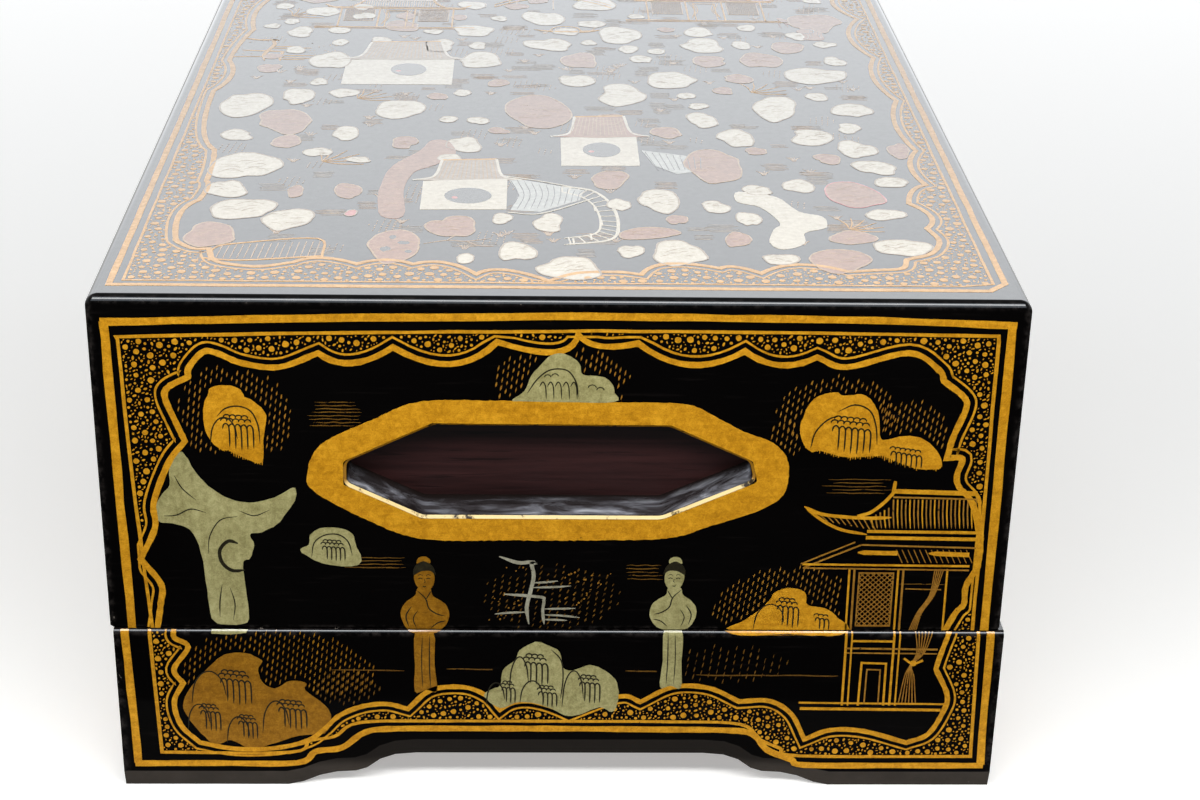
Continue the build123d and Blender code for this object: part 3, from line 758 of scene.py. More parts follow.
def mound(sk, f, cx, cy, w, h, seed, lobes=2, ink="ink", drawn=True, size=None):
    """A rock of the builder's own: heaped lobes on a ragged foot, with its folds drawn in."""
    rng = random.Random(seed)
    pts = [(cx - w * 0.50, cy - h * 0.46), (cx - w * 0.47, cy - h * 0.22), (cx - w * 0.38, cy + h * 0.02)]
    k = max(lobes, 1)
    for i in range(k):
        a = cx - w * 0.36 + w * 0.74 * (i + 0.5) / k
        peak = h * (0.50 - 0.16 * abs(i - (k - 1) * 0.35)) * rng.uniform(0.9, 1.08)
        hw = w * 0.74 / k * 0.5
        pts += [(a - hw * 0.62, cy + peak * 0.72), (a - hw * 0.1, cy + peak), (a + hw * 0.55, cy + peak * 0.80)]
        if i < k - 1:
            pts.append((a + hw * 0.98, cy + peak * 0.45))
    pts += [(cx + w * 0.47, cy - h * 0.02), (cx + w * 0.50, cy - h * 0.30), (cx + w * 0.44, cy - h * 0.47),
            (cx + w * 0.22, cy - h * 0.42), (cx, cy - h * 0.50), (cx - w * 0.24, cy - h * 0.43)]
    q = blob(sk, f, pts, 5, seed=seed)
    if drawn:
        s = size or min(w * 0.075, h * 0.12)
        fw = min(0.34, 0.18 + s * 0.11)
        folds(sk, cx - w * 0.05, cy + h * 0.16, s, 4, h * 0.46, 0.28, 2, fw)
        big_arc(sk, cx - w * 0.36, cx + w * 0.10, cy - h * 0.34, h * 0.62, fw * 1.05, ink)
        if w > h * 1.15:
            folds(sk, cx + w * 0.32, cy + h * 0.02, s * 0.75, 3, h * 0.32, 0.25, 1, fw * 0.9)
    return q


def lines(sk, f, x0, x1, y, n, gap=0.85, w=0.24, seed=0, tilt=0.0, wave=0.12):
    """Strokes of cloud or water, ragged at both ends."""
    rng = random.Random(seed)
    for i in range(n):
        a, b = x0 + rng.uniform(0, 0.18) * (x1 - x0), x1 - rng.uniform(0, 0.18) * (x1 - x0)
        yy = y - i * gap
        m = 7
        p = [(a + (b - a) * k / m, yy + tilt * (a + (b - a) * k / m - x0) + rng.uniform(-wave, wave)) for k in range(m + 1)]
        sk.ribbon(f, smooth(p, 3), w * rng.uniform(0.75, 1.1), 0.05, taper=0.3)


def grass(sk, f, x, y, n=5, h=3.0, spread=2.4, w=0.26, seed=0):
    rng = random.Random(seed)
    for i in range(n):
        a = (i - (n - 1) / 2) / max(n - 1, 1)
        hh = h * rng.uniform(0.7, 1.1)
        sk.ribbon(f, smooth([(x + a * spread * 0.25, y), (x + a * spread * 0.6, y + hh * 0.55), (x + a * spread * 1.3, y + hh)], 4), w, 0.06, taper=0.4)


def pine(sk, f, spark, x, y, s=1.0, flip=1, seed=0, needles=True):
    """A bent pine drawn in a few strokes, with needle sprays."""
    rng = random.Random(seed)

    def P(a, b):
        return (x + a * s * flip, y + b * s)
    sk.ribbon(f, smooth([P(0, 0), P(-0.6, 5), P(0.4, 10), P(1.2, 14.5), P(0.6, 18.0), P(1.4, 18.3), P(0.2, 18.6), P(-3, 18.4), P(-7.8, 20.2)], 4), 1.0 * s, 0.09, taper=0.12)
    sk.ribbon(f, smooth([P(4.0, 0), P(3.6, 4), P(3.9, 7.2), P(2.8, 8.2), P(-6.5, 9.0)], 4), 0.8 * s, 0.09, taper=0.12)
    for a, b, l, d in ((1.0, 12.4, 6.5, 0.6), (1.0, 11.0, 10.0, 0.5), (4.0, 4.6, 8.2, 0.2), (4.0, 2.8, 9.4, -0.8), (3.6, 1.4, 6.4, -0.3), (-0.6, 3.6, -8.4, -0.6)):
        sk.ribbon(f, smooth([P(a, b), P(a + l * 0.5, b + d * 0.3), P(a + l, b + d)], 4), 0.55 * s, 0.08, taper=0.35)
    if needles:
        for cx, cy in ((-5, 16), (-8, 7), (-9, 1), (8, 14), (12, 12), (15, 9), (-5, 5.5), (9, 7), (13, 6), (17, 13)):
            for k in range(4):
                u, v = cx + rng.uniform(-1.6, 1.6) + k * 0.9, cy + rng.uniform(-1, 1) + k * 0.75
                p = P(u, v)
                sk.dot(spark, p[0], p[1], rng.uniform(0.20, 0.38) * s, sides=5, top=0.06, squash=0.7, turn=0.7)


def willow(sk, f, ink, x, y, s=1.0, flip=1, seed=0):
    """A leaning trunk with a curl in its bark and trailing boughs."""
    rng = random.Random(seed)

    def P(a, b):
        return (x + a * s * flip, y + b * s)
    out = [P(-3.5, 0), P(-3.9, 8), P(-5.0, 15), P(-9.5, 20), P(-7.5, 24.5), P(-3.5, 22.5), P(0.5, 22), P(5.5, 24.5), P(10.5, 30), P(12.0, 29), P(9.6, 23.0),
           P(5.2, 18.2), P(4.2, 14.5), P(6.0, 11.5), P(4.2, 8.2), P(3.4, 4), P(4.2, 0)]
    blob(sk, f, out, 5, seed=seed)
    sk.ribbon(ink, smooth([P(2.8, 13.6), P(0.6, 14.2), P(-0.9, 12.4), P(-0.4, 9.8), P(2.0, 8.8), P(4.0, 9.2)], 5), 0.62 * s, 0.125, 0.085, taper=0.2)
    for k in range(5):
        a = rng.uniform(-3, 2)
        sk.ribbon(ink, smooth([P(a, 2 + k * 1.2), P(a + 0.3, 5 + k * 1.6), P(a - 0.6, 9 + k * 1.8)], 4), 0.22 * s, 0.12, 0.085, taper=0.4)
    for i in range(7):
        a = 10.5 - i * 2.9
        b = 29.5 - abs(i - 1.5) * 1.1
        sk.ribbon(f, smooth([P(a, b), P(a + 1.4, b - 4), P(a + 0.9, b - 9 - rng.uniform(0, 4))], 5), 0.30 * s, 0.07, taper=0.4)
        for k in range(6):
            p = P(a + 1.2 + rng.uniform(-0.7, 0.7), b - 1.5 - k * 1.7)
            sk.dot(f, p[0], p[1], 0.40 * s, sides=5, top=0.07, squash=0.5, turn=1.2)


def lady(sk, f, ink, x, y, h=38.0, flip=1, seed=0, hair="ink"):
    """A small robed figure with folded hands and a plain, quiet face."""
    s = h / 38.0

    def P(a, b):
        return (x + a * s * flip, y + b * s)
    # skirt and robe
    blob(sk, f, [P(-2.6, 0), P(-2.5, 8), P(-2.3, 17.4), P(2.3, 17.4), P(2.5, 8), P(3.0, 0.2), P(0.3, 0.5)], 4, seed=seed, wobble=0.05)
    blob(sk, f, [P(-3.8, 17.6), P(-5.6, 20.4), P(-5.9, 23.4), P(-4.4, 26.0), P(-2.3, 27.6), P(-1.5, 29.8), P(1.5, 29.8), P(2.2, 27.6), P(4.2, 26.2), P(5.8, 24.6),
                 P(6.3, 21.6), P(5.0, 18.6), P(2.6, 17.2), P(0.2, 17.0)], 4, seed=seed + 1, wobble=0.05, top=0.105)
    # head with a knot of hair
    blob(sk, f, [P(-2.4, 32.4), P(-2.1, 34.9), P(-0.2, 36.4), P(1.9, 35.4), P(2.7, 32.8), P(2.2, 30.4), P(0.6, 28.9), P(-1.4, 29.9)], 4, seed=seed + 2, wobble=0.0, top=0.11)
    blob(sk, hair, [P(-2.6, 33.6), P(-2.2, 36.0), P(-0.1, 37.6), P(2.2, 36.2), P(3.0, 33.7), P(1.7, 34.8), P(-0.6, 34.7)], 4, seed=seed + 3, wobble=0.0, top=0.145)
    blob(sk, f, [P(-1.7, 36.9), P(-1.3, 38.4), P(0.2, 38.9), P(1.5, 38.2), P(1.6, 37.0), P(0.0, 37.6)], 4, seed=seed + 4, wobble=0.0, top=0.12)
    for e in (-0.85, 1.15):
        sk.ribbon(ink, [P(e - 0.55, 32.5), P(e, 32.75), P(e + 0.55, 32.5)], 0.24 * s, 0.145, 0.10)
        sk.ribbon(ink, [P(e - 0.60, 33.5), P(e, 33.8), P(e + 0.60, 33.5)], 0.17 * s, 0.145, 0.10)
    sk.ribbon(ink, [P(0.18, 32.4), P(0.34, 31.6), P(0.05, 31.4)], 0.17 * s, 0.145, 0.10)
    sk.ribbon(ink, [P(-0.25, 30.4), P(0.15, 30.25), P(0.55, 30.4)], 0.26 * s, 0.145, 0.10)
    # collar, sleeves and the folds of the skirt
    for q, w in (([P(-1.8, 29.2), P(0.4, 26.8), P(1.2, 24.0), P(3.2, 22.4), P(5.2, 21.8)], 0.34), ([P(1.8, 29.0), P(0.6, 26.8)], 0.28),
                 ([P(-4.0, 18.8), P(-4.6, 21.8), P(-3.2, 24.6)], 0.32), ([P(-2.0, 18.2), P(-2.8, 21), P(-1.6, 23.4)], 0.26),
                 ([P(1.6, 18.2), P(3.4, 19.8), P(5.4, 20.4)], 0.30), ([P(1.4, 1.0), P(1.2, 8), P(1.3, 16.6)], 0.30), ([P(-0.6, 1.0), P(-0.8, 9), P(-0.5, 16.6)], 0.24)):
        sk.ribbon(ink, smooth(q, 5), w * s, 0.145, 0.085, taper=0.3)


def hall(sk, f, dim, x0, x1, y, h, seed=0, flip=1):
    """A waterside hall: sweeping tiled roof, eaves, lattice and posts on a terrace."""
    rng = random.Random(seed)
    w = x1 - x0
    c = (x0 + x1) / 2

    def X(t):
        return c + (t - 0.5) * w * flip
    eave, ridge = y + h * 0.58, y + h * 0.92
    # roof
    left = smooth([(X(0.0), eave + h * 0.10), (X(0.06), eave + h * 0.03), (X(0.16), eave + h * 0.02), (X(0.24), eave + h * 0.14), (X(0.28), ridge)], 5)
    rgt = [(2 * c - a, b) for a, b in left]
    sk.ribbon(f, left, 0.9, taper=0.1)
    sk.ribbon(f, rgt, 0.9, taper=0.1)
    sk.ribbon(f, [(X(0.26), ridge), (X(0.5), ridge + 0.15), (X(0.74), ridge)], 1.3)
    sk.ribbon(f, [(X(0.28), ridge - 1.6), (X(0.72), ridge - 1.6)], 0.5)
    for e, sg in ((0.27, -1), (0.73, 1)):
        sk.ribbon(f, [(X(e), ridge), (X(e) + 0.4 * sg * flip, ridge + 2.4)], 0.9, taper=0.2)
    sk.ribbon(f, [(X(0.04), eave), (X(0.96), eave)], 1.1)
    sk.ribbon(f, [(X(0.02), eave + 1.5), (X(0.98), eave + 1.5)], 0.5)
    n = max(int(w / 0.95), 8)
    for i in range(n):
        t = 0.09 + 0.82 * i / (n - 1)
        e = min(t, 1 - t)
        yt = ridge - 2.0 if e > 0.285 else eave + 2.0 + (ridge - eave - 4.0) * max(0.0, (e - 0.13) / 0.155) ** 1.6
        if yt > eave + 2.3:
            sk.ribbon(dim, [(X(t), eave + 1.9), (X(t) + rng.uniform(-0.1, 0.1), yt)], 0.30, 0.06, taper=0.15)
    # walls
    floor = y + h * 0.08
    for t in (0.12, 0.38, 0.62, 0.88):
        sk.ribbon(f, [(X(t), floor), (X(t), eave - 0.4)], 0.6)
    for a, b in ((0.15, 0.35), (0.65, 0.85)):
        xa, xb = sorted((X(a), X(b)))
        top_, bot = eave - 1.8, floor + h * 0.16
        sk.ribbon(dim, [(xa, bot), (xb, bot), (xb, top_), (xa, top_)], 0.32, closed=True)
        k = max(int((xb - xa + top_ - bot) / 1.25), 5)
        for i in range(1, k):
            s = (xb - xa + top_ - bot) * i / k
            p = (xa + min(s, xb - xa), bot + max(0, s - (xb - xa)))
            q = (xa + max(0, s - (top_ - bot)), bot + min(s, top_ - bot))
            sk.ribbon(dim, [p, q], 0.20, 0.05)
            sk.ribbon(dim, [(xa + xb - p[0], p[1]), (xa + xb - q[0], q[1])], 0.20, 0.05)
    xa, xb = sorted((X(0.43), X(0.57)))
    sk.ribbon(f, [(xa, floor), (xa, eave - 3), (xb, eave - 3), (xb, floor)], 0.40)
    for k in range(3):
        sk.ribbon(f, smooth([(X(0.40 + 0.015 * k), eave - 1), (X(0.43 + 0.012 * k), (eave + floor) / 2 + 1), (X(0.405), floor + 3)], 5), 0.22, 0.06, taper=0.3)
        sk.ribbon(f, smooth([(X(0.60 - 0.015 * k), eave - 1), (X(0.57 - 0.012 * k), (eave + floor) / 2 + 1), (X(0.595), floor + 3)], 5), 0.22, 0.06, taper=0.3)
    sk.ribbon(f, [(X(-0.03), floor), (X(1.03), floor)], 0.8)
    sk.ribbon(f, [(X(-0.03), floor - 1.5), (X(1.03), floor - 1.5)], 0.45)


def bridge(sk, f, dim, x0, x1, y, h, w=0.8):
    a = swag((x0, y), ((x0 + x1) / 2, y + h), (x1, y), 16)
    b = swag((x0, y + 3.0), ((x0 + x1) / 2, y + h + 3.4), (x1, y + 3.0), 16)
    sk.ribbon(f, a, w)
    sk.ribbon(f, b, w * 0.6)
    for p, q in list(zip(a, b))[::2]:
        sk.ribbon(f, [p, q], w * 0.5, 0.08)
    for k in (3, 8, 13):
        sk.ribbon(dim, [(a[k][0], a[k][1] - 0.4), (a[k][0], y - 2.2)], w * 0.6, 0.08)


def boat(sk, f, dim, x, y, s=1.0, flip=1):
    def P(a, b):
        return (x + a * s * flip, y + b * s)
    blob(sk, f, [P(-9, 2.2), P(-5, 0.2), P(0, -0.5), P(6, 0.1), P(10, 2.6), P(5, 1.5), P(0, 1.1), P(-5, 1.4)], 4)
    sk.ribbon(f, smooth([P(-4.5, 1.3), P(-3, 4.6), P(0, 5.6), P(3, 4.5), P(4.2, 1.5)], 5), 0.4 * s)
    for k in range(5):
        sk.ribbon(dim, [P(-3 + k * 1.5, 1.4), P(-2.8 + k * 1.4, 4.4 if k in (0, 4) else 5.2)], 0.2 * s, 0.05)
    sk.ribbon(f, [P(7, 1.6), P(9.6, 8.4)], 0.26 * s, 0.06, taper=0.2)


def lattice_ring(sk, f, dim, ring):
    sk.ribbon(f, ring, 1.0, closed=True)


def swag_frame(x0, y0, x1, y1, nx, ny, c, t, corner=15.0, seed=0, skip=()):
    """A closed line of swags inside a rectangle: cusps c from its sides, bellies t, and a lobe in each corner."""
    rng = random.Random(seed)
    cusps, mids = [], []

    def run(a, b, n, at, inward):
        """Cusps from a to b along one side, with bellies between them."""
        for i in range(n + 1):
            s = a + (b - a) * i / n + (rng.uniform(-0.06, 0.06) * abs(b - a) / n if 0 < i < n else 0)
            cusps.append(at(s, c if 0 < i < n else c + 1.4))
        for i in range(n):
            k = len(cusps) - n - 1 + i
            p, q = cusps[k], cusps[k + 1]
            mids.append(at(((p[0] + q[0]) / 2 if inward == "v" else (p[1] + q[1]) / 2), t * rng.uniform(0.92, 1.08)))
    k1, k2 = corner, corner * 0.82
    run(x0 + k1, x1 - k1, nx, lambda s, d: (s, y1 - d), "v")
    mids.append((x1 - corner * 0.42, y1 - corner * 0.42))
    run(y1 - k2, y0 + k2, ny, lambda s, d: (x1 - d, s), "h")
    mids.append((x1 - corner * 0.42, y0 + corner * 0.42))
    run(x1 - k1, x0 + k1, nx, lambda s, d: (s, y0 + d), "v")
    mids.append((x0 + corner * 0.42, y0 + corner * 0.42))
    run(y0 + k2, y1 - k2, ny, lambda s, d: (x0 + d, s), "h")
    mids.append((x0 + corner * 0.42, y1 - corner * 0.42))
    parts = []
    for i, m in enumerate(mids):
        parts.append(swag(cusps[i], m, cusps[(i + 1) % len(cusps)], 9))
    return chain(parts)[:-1]


def rect(x0, y0, x1, y1, n=1):
    p = []
    for a, b in (((x0, y0), (x1, y0)), ((x1, y0), (x1, y1)), ((x1, y1), (x0, y1)), ((x0, y1), (x0, y0))):
        p += [(a[0] + (b[0] - a[0]) * k / n, a[1] + (b[1] - a[1]) * k / n) for k in range(n)]
    return p


def hand_line(pts, amp, seed, step=9.0, closed=False):
    """The same line, drawn by hand."""
    rng = random.Random(seed)
    q = resample(pts, step, closed)
    q = [(x + rng.uniform(-amp, amp), y + rng.uniform(-amp, amp)) for x, y in q]
    return q


# =====================================================================
# the faces
# =====================================================================
NEAR_U, FAR_U = (1, 0, 0), (-1, 0, 0)
UP = (0, 0, 1)
case_front = Skin("upper_case", "case_front", flat((-1, -171.5, 0), NEAR_U, UP, (0, -1, 0)), 48.15)
case_rear = Skin("upper_case", "case_rear", flat((-1, 173.5, 0), FAR_U, UP, (0, 1, 0)), 48.7)
case_left = Skin("upper_case", "case_left", flat((-116, 1, 0), (0, -1, 0), UP, (-1, 0, 0)), 48.7)
case_right = Skin("upper_case", "case_right", flat((114, 1, 0), (0, 1, 0), UP, (1, 0, 0)), 48.7)
case_top = Skin("upper_case", "case_top", flat((-1, -171.5, 140), NEAR_U, (0, 1, 0), UP))
case_top.thin = 0.5
case_top.swap = {"gold": "top_gold", "gold_dim": "top_thin"}
base_front = Skin("base_tray", "base_front", rimmed((-1, -172.5), (1, 0), (0, -1)), 5.2, 48.1, RIM_CUTS)
base_rear = Skin("base_tray", "base_rear", rimmed((0, 172.5), (-1, 0), (0, 1)), 5.2, 47.2, RIM_CUTS)
base_left = Skin("base_tray", "base_left", rimmed((-115, 0), (0, -1), (-1, 0)), 5.2, 47.2, RIM_CUTS)
base_right = Skin("base_tray", "base_right", rimmed((115, 0), (0, 1), (1, 0)), 5.2, 47.2, RIM_CUTS)
SKINS = [case_front, case_rear, case_left, case_right, case_top, base_front, base_rear, base_left, base_right]


def cusped(*runs, n=6):
    """Smooth runs that meet in points."""
    out, last = [], None
    for r in runs:
        p = ([last] if last else []) + list(r)
        out.append(swag(*p, 10) if len(p) == 3 else smooth(p, n))
        last = r[-1]
    return chain(out)


def ring(sk, f, outer, inner, top=0.11, n=150, rag=0.14, seed=5):
    """A painted border between two outlines round the same centre."""
    rng = random.Random(seed)
    cx = sum(p[0] for p in inner) / len(inner)
    cy = sum(p[1] for p in inner) / len(inner)

    def hit(poly, a):
        dx, dy = math.cos(a), math.sin(a)
        best = None
        for i in range(len(poly)):
            (x1, y1), (x2, y2) = poly[i - 1], poly[i]
            ex, ey = x2 - x1, y2 - y1
            den = dx * ey - dy * ex
            if abs(den) < 1e-12:
                continue
            t = ((x1 - cx) * ey - (y1 - cy) * ex) / den
            s = ((x1 - cx) * dy - (y1 - cy) * dx) / den
            if t > 0 and -1e-9 <= s <= 1 + 1e-9 and (best is None or t > best):
                best = t
        return best
    # directions evenly spread along the outline, not along the angle
    way = resample(outer, 0.9, True)
    angs = sorted(math.atan2(p[1] - cy, p[0] - cx) for p in way)
    O, I = [], []
    for a in angs:
        to, ti = hit(outer, a), hit(inner, a)
        if to is None or ti is None:
            continue
        to += rng.uniform(-rag, rag)
        O.append((cx + math.cos(a) * to, cy + math.sin(a) * to))
        I.append((cx + math.cos(a) * ti, cy + math.sin(a) * ti))
    m = len(O)
    vs, fs = sk.buf(f)
    k = len(vs)
    for o, i in zip(O, I):
        vs += [sk.place(*i, 0), sk.place(*o, 0), sk.place(*o, top), sk.place(*i, top)]
    for i in range(m):
        a, b = k + 4 * i, k + 4 * ((i + 1) % m)
        fs += [(a + 2, b + 2, b + 3, a + 3), (a + 1, a, b, b + 1), (a + 1, b + 1, b + 2, a + 2), (a + 3, b + 3, b, a)]


def stone(sk, f, cx, cy, rx, ry, seed, drawn=True, tone="gold_dim", edge=None):
    """A flat stone as seen from over it: a notched, pointed outline, an edge in a second colour, faint folds."""
    rng = random.Random(seed)
    n = 14 if rx > 2.5 else 9
    a0, a1, a2 = rng.uniform(0, 6.28), rng.uniform(0, 6.28), rng.uniform(0, 6.28)
    notch, tip = rng.uniform(0, 6.28), rng.uniform(3.6, 5.8)
    pts = []
    for i in range(n):
        a = 2 * math.pi * i / n
        k = 0.93 + 0.09 * math.cos(2 * a + a0) + 0.07 * math.cos(3 * a + a1) + 0.035 * math.cos(5 * a + a2) + rng.uniform(-0.03, 0.03)
        dn = abs((a - notch + math.pi) % (2 * math.pi) - math.pi)
        dt = abs((a - tip + math.pi) % (2 * math.pi) - math.pi)
        k -= 0.24 * max(0.0, 1 - dn / 0.55)
        k += 0.20 * max(0.0, 1 - dt / 0.50)
        pts.append((cx + rx * k * math.cos(a), cy + ry * k * math.sin(a)))
    q = smooth(pts, 3, True)
    q = [(x + rng.uniform(-0.06, 0.06), y + rng.uniform(-0.06, 0.06)) for x, y in q]
    sk.poly(f, q, 0.09)
    if edge:
        sk.ribbon(edge, offset(q, -0.18 if area2(q) > 0 else 0.18, True), 0.50 if rx > 4 else 0.34, 0.118, 0.07, closed=True, rag=0.3)
    if drawn and rx > 2.4:
        m = int(4 + rx * 0.9)
        for i in range(m):
            x = cx + (rng.random() - 0.5) * rx * 1.15
            y = cy + (rng.random() - 0.5) * ry * 1.05
            l = rng.uniform(0.14, 0.30) * rx
            t = rng.uniform(-0.5, 0.9)
            sk.ribbon(tone, smooth([(x - l, y - l * 0.6 * t), (x - l * 0.2, y + l * 0.35), (x + l * 0.8, y + l * t)], 3), 0.24, 0.118, 0.08, taper=0.4)
    return q


def curls(sk, f, a, b, w, pitch=3.1, seed=0, size=1.15):
    """Running scrolls that fill a border between its lines."""
    rng = random.Random(seed)
    d = math.dist(a, b)
    ux, uy = (b[0] - a[0]) / d, (b[1] - a[1]) / d
    n = int(d / pitch)
    for i in range(n):
        c = (i + 0.5) * d / n
        flip = 1 if i % 2 else -1
        x, y = a[0] + ux * c, a[1] + uy * c
        off = rng.uniform(-0.2, 0.2)
        pts = []
        for k in range(9):
            ang = 0.6 + k * 0.72
            r = size * (1 - k * 0.085)
            p, q = r * math.cos(ang) * 1.05, (r * math.sin(ang) + off) * flip * w
            pts.append((x + ux * p - uy * q, y + uy * p + ux * q))
        sk.ribbon(f, pts, 0.34, 0.07, taper=0.25)


# ---------------------------------------------------------- case, front
F = case_front
OUT = hand_line([(-109.2, 48.0), (-110.0, 90.6), (-110.6, 133.6)], 0.10, 1) 
F.ribbon("gold", OUT, 2.2, rag=0.10)
F.ribbon("gold", hand_line([(-111.6, 133.4), (-63.3, 134.8), (9.3, 135.9), (82.5, 135.2), (111.4, 134.1)], 0.08, 2), 1.9, rag=0.10)
F.ribbon("gold", hand_line([(110.3, 133.6), (110.5, 91.9), (110.8, 48.0)], 0.10, 3), 2.2, rag=0.10)
SEC = (hand_line([(-104.0, 48.0), (-106.2, 85.0), (-107.6, 128.9)], 0.10, 4)
       + hand_line([(-107.9, 129.5), (-63.4, 130.9), (9.4, 132.0), (82.8, 131.7), (107.2, 131.3)], 0.08, 5)
       + hand_line([(107.2, 129.6), (107.7, 86.2), (107.7, 48.0)], 0.10, 6))
F.ribbon("gold", SEC, 0.85, rag=0.12)
SCAL = cusped([(-102.8, 48.0), (-101.5, 55.4), (-101.1, 61.0), (-105.8, 68.2)],
              [(-101.6, 77.4), (-101.5, 84.5), (-97.1, 95.7), (-92.8, 101.5)],
              [(-94.7, 106.5), (-97.0, 113.2), (-96.1, 116.2), (-91.1, 119.0)],
              [(-90.7, 121.6), (-87.1, 125.7), (-83.7, 125.4), (-77.8, 122.8), (-68.8, 121.8), (-59.2, 125.6)],
              [(-51.0, 123.0), (-41.0, 127.3)], [(-27.1, 122.9), (-15.6, 128.9)], [(-1.5, 126.3), (4.1, 131.1)],
              [(9.5, 128.0), (18.8, 128.8)], [(31.7, 123.1), (45.0, 126.9)], [(53.8, 123.2), (62.8, 125.4)],
              [(70.3, 122.8), (85.4, 126.7), (93.1, 122.2), (94.6, 119.2)],
              [(99.9, 114.9), (100.7, 111.6), (98.1, 103.6), (97.1, 98.0)],
              [(100.9, 97.8), (100.0, 93.2), (100.8, 89.9), (104.8, 84.8), (107.5, 74.2), (107.6, 66.9)],
              [(105.0, 61.3), (104.9, 56.0), (103.1, 53.6), (100.6, 48.0)])
F.ribbon("gold", SCAL, 1.55, rag=0.12)
THIN = offset(SCAL, 2.3)
THIN = [(min(max(x, -106.2), 106.6), min(y, 130.4)) for x, y in THIN]
F.ribbon("gold", THIN, 0.55, 0.08, rag=0.15)
speckle(F, "gold", SEC + THIN[::-1], None, 11, gap=0.62, big=0.78, per=1.6)

HOLE = [(-53.2, 95.7), (-31.6, 106.1), (27.4, 105.9), (47.7, 96.3), (48.9, 91.3), (26.0, 80.9), (-34.4, 80.9), (-53.3, 90.1)]
HOLE_IN = offset(HOLE[::-1], 0.76, True) if area2(HOLE) < 0 else offset(HOLE, -0.76, True)
if abs(area2(HOLE_IN)) < abs(area2(HOLE)):
    HOLE_IN = offset(HOLE[::-1], -0.76, True) if area2(HOLE) < 0 else offset(HOLE, 0.76, True)
GILT = smooth([(-62.9, 92.7), (-61.6, 97.6), (-57.8, 102.0), (-46.0, 107.9), (-34.1, 112.8), (-10, 113.0), (12, 112.9), (30.6, 112.5), (37.5, 109.6),
               (45.3, 105.2), (53.3, 101.9), (56.9, 97.5), (57.5, 91.7), (55.8, 86.5), (49.6, 82.5), (38.8, 78.6), (28.0, 74.9), (10, 74.2),
               (-12, 74.1), (-34.8, 74.4), (-50.0, 80.6), (-61.7, 88.0)], 4, True)
ring(F, "gold", GILT, HOLE_IN)

# bent tree, left
TREE = [(-94.2, 98.5), (-92.8, 97.4), (-91, 93.5), (-87.8, 89.3), (-83.7, 86), (-78.8, 84.6), (-74.5, 84.9), (-70.5, 86.4), (-66.6, 88.8), (-65.9, 86.2), (-68.4, 81.8),
        (-71, 78.4), (-74.9, 76.1), (-77.9, 75.5), (-77, 72.4), (-78.2, 68.6), (-80, 67.2), (-79.6, 59.3), (-79.2, 52), (-80.3, 49.6), (-85.5, 49.2),
        (-88.7, 51), (-89.5, 59.3), (-90.5, 70.3), (-92.9, 76.6), (-97.3, 78.6), (-100.3, 78.8), (-101.3, 82.2), (-99.9, 85.9), (-97.4, 89.3), (-96.9, 94.9)]
blob(F, "green", TREE, 4, seed=3)
F.ribbon("ink", smooth([(-81, 72.9), (-83.5, 73.5), (-85.7, 70.9), (-85.3, 67.4), (-82.9, 65.1), (-79.6, 65.2)], 6), 0.95, 0.14, 0.085, taper=0.15)
for q, w in (([(-99.2, 80.6), (-96.0, 80.9), (-92.4, 82.6), (-88.6, 81.6)], 0.35), ([(-96.0, 92.0), (-94.2, 88.4), (-91.0, 85.2)], 0.3), ([(-86.6, 51.4), (-86.4, 56), (-85.6, 61)], 0.35),
             ([(-83.2, 50.6), (-82.6, 55.4), (-83.6, 60)], 0.3), ([(-88.6, 70), (-88.0, 75), (-85.2, 79.5), (-80.8, 80.6)], 0.3), ([(-72.8, 82.4), (-76.6, 80.8), (-80.4, 82.2)], 0.3)):
    F.ribbon("ink", smooth(q, 5), w, 0.12, 0.085, taper=0.45)

# gold rock, upper left
RUL = [(-87.3, 112.8), (-88, 107.3), (-86.6, 101.9), (-83.8, 99.1), (-82.3, 99.1), (-78.2, 96.9), (-74, 95.8), (-73.5, 101.9), (-72.5, 108.8), (-75.1, 112.3), (-77.5, 113.7),
       (-79, 116.1), (-82.9, 116.9), (-85.9, 116), (-86.5, 113.9)]
q = blob(F, "gold", RUL, 4, seed=4)
fringe(F, "gold", [(-84.4, 99.6), (-82.3, 99.2), (-78.2, 97.0), (-74.0, 95.9)], 4)
folds(F, -79.6, 106.2, 1.25, 5, 7.0, 0.10, 2, 0.36)
big_arc(F, -86.6, -79.8, 100.4, 7.6, 0.36)
F.ribbon("ink", smooth([(-84.6, 108.4), (-82.4, 110.6), (-79.2, 111.2), (-76.2, 109.8), (-74.6, 106.0), (-74.3, 101.0)], 5), 0.36, 0.14, 0.085, taper=0.2)
hatch(F, "gold_dim", -80.5, 108.0, 14.5, 15.0, [q], seed=5, within=SCAL, foot=98.5)
lines(F, "gold_faint", -62.5, -48.5, 112.4, 8, 0.92, 0.26, 6)

# green dome
q = blob(F, "green", [(-65.5, 71), (-63.2, 72.5), (-62.8, 75.3), (-60.2, 77.3), (-55.7, 77.4), (-52.2, 75.7), (-51.1, 71.7), (-50.1, 69.6), (-50.4, 67.3), (-52.5, 66.4),
                      (-58, 66.7), (-61.8, 68.1)], 4, seed=6)
folds(F, -57.0, 72.0, 0.95, 5, 4.0, 0.10, 2, 0.32)
F.ribbon("ink", smooth([(-62.6, 69.0), (-61.8, 73.2), (-59.0, 75.4), (-55.6, 75.5), (-53.2, 73.4), (-52.3, 69.6)], 5), 0.32, 0.14, 0.085, taper=0.2)
lines(F, "gold_faint", -54.5, -38.6, 68.9, 4, 0.95, 0.28, 7)

# two ladies and a pine between them; their skirts run down over the joint
def near_lady(sk):
    lady(sk, "gold_deep", "ink", -34.3, 29.8, 38.6, 1, 21)


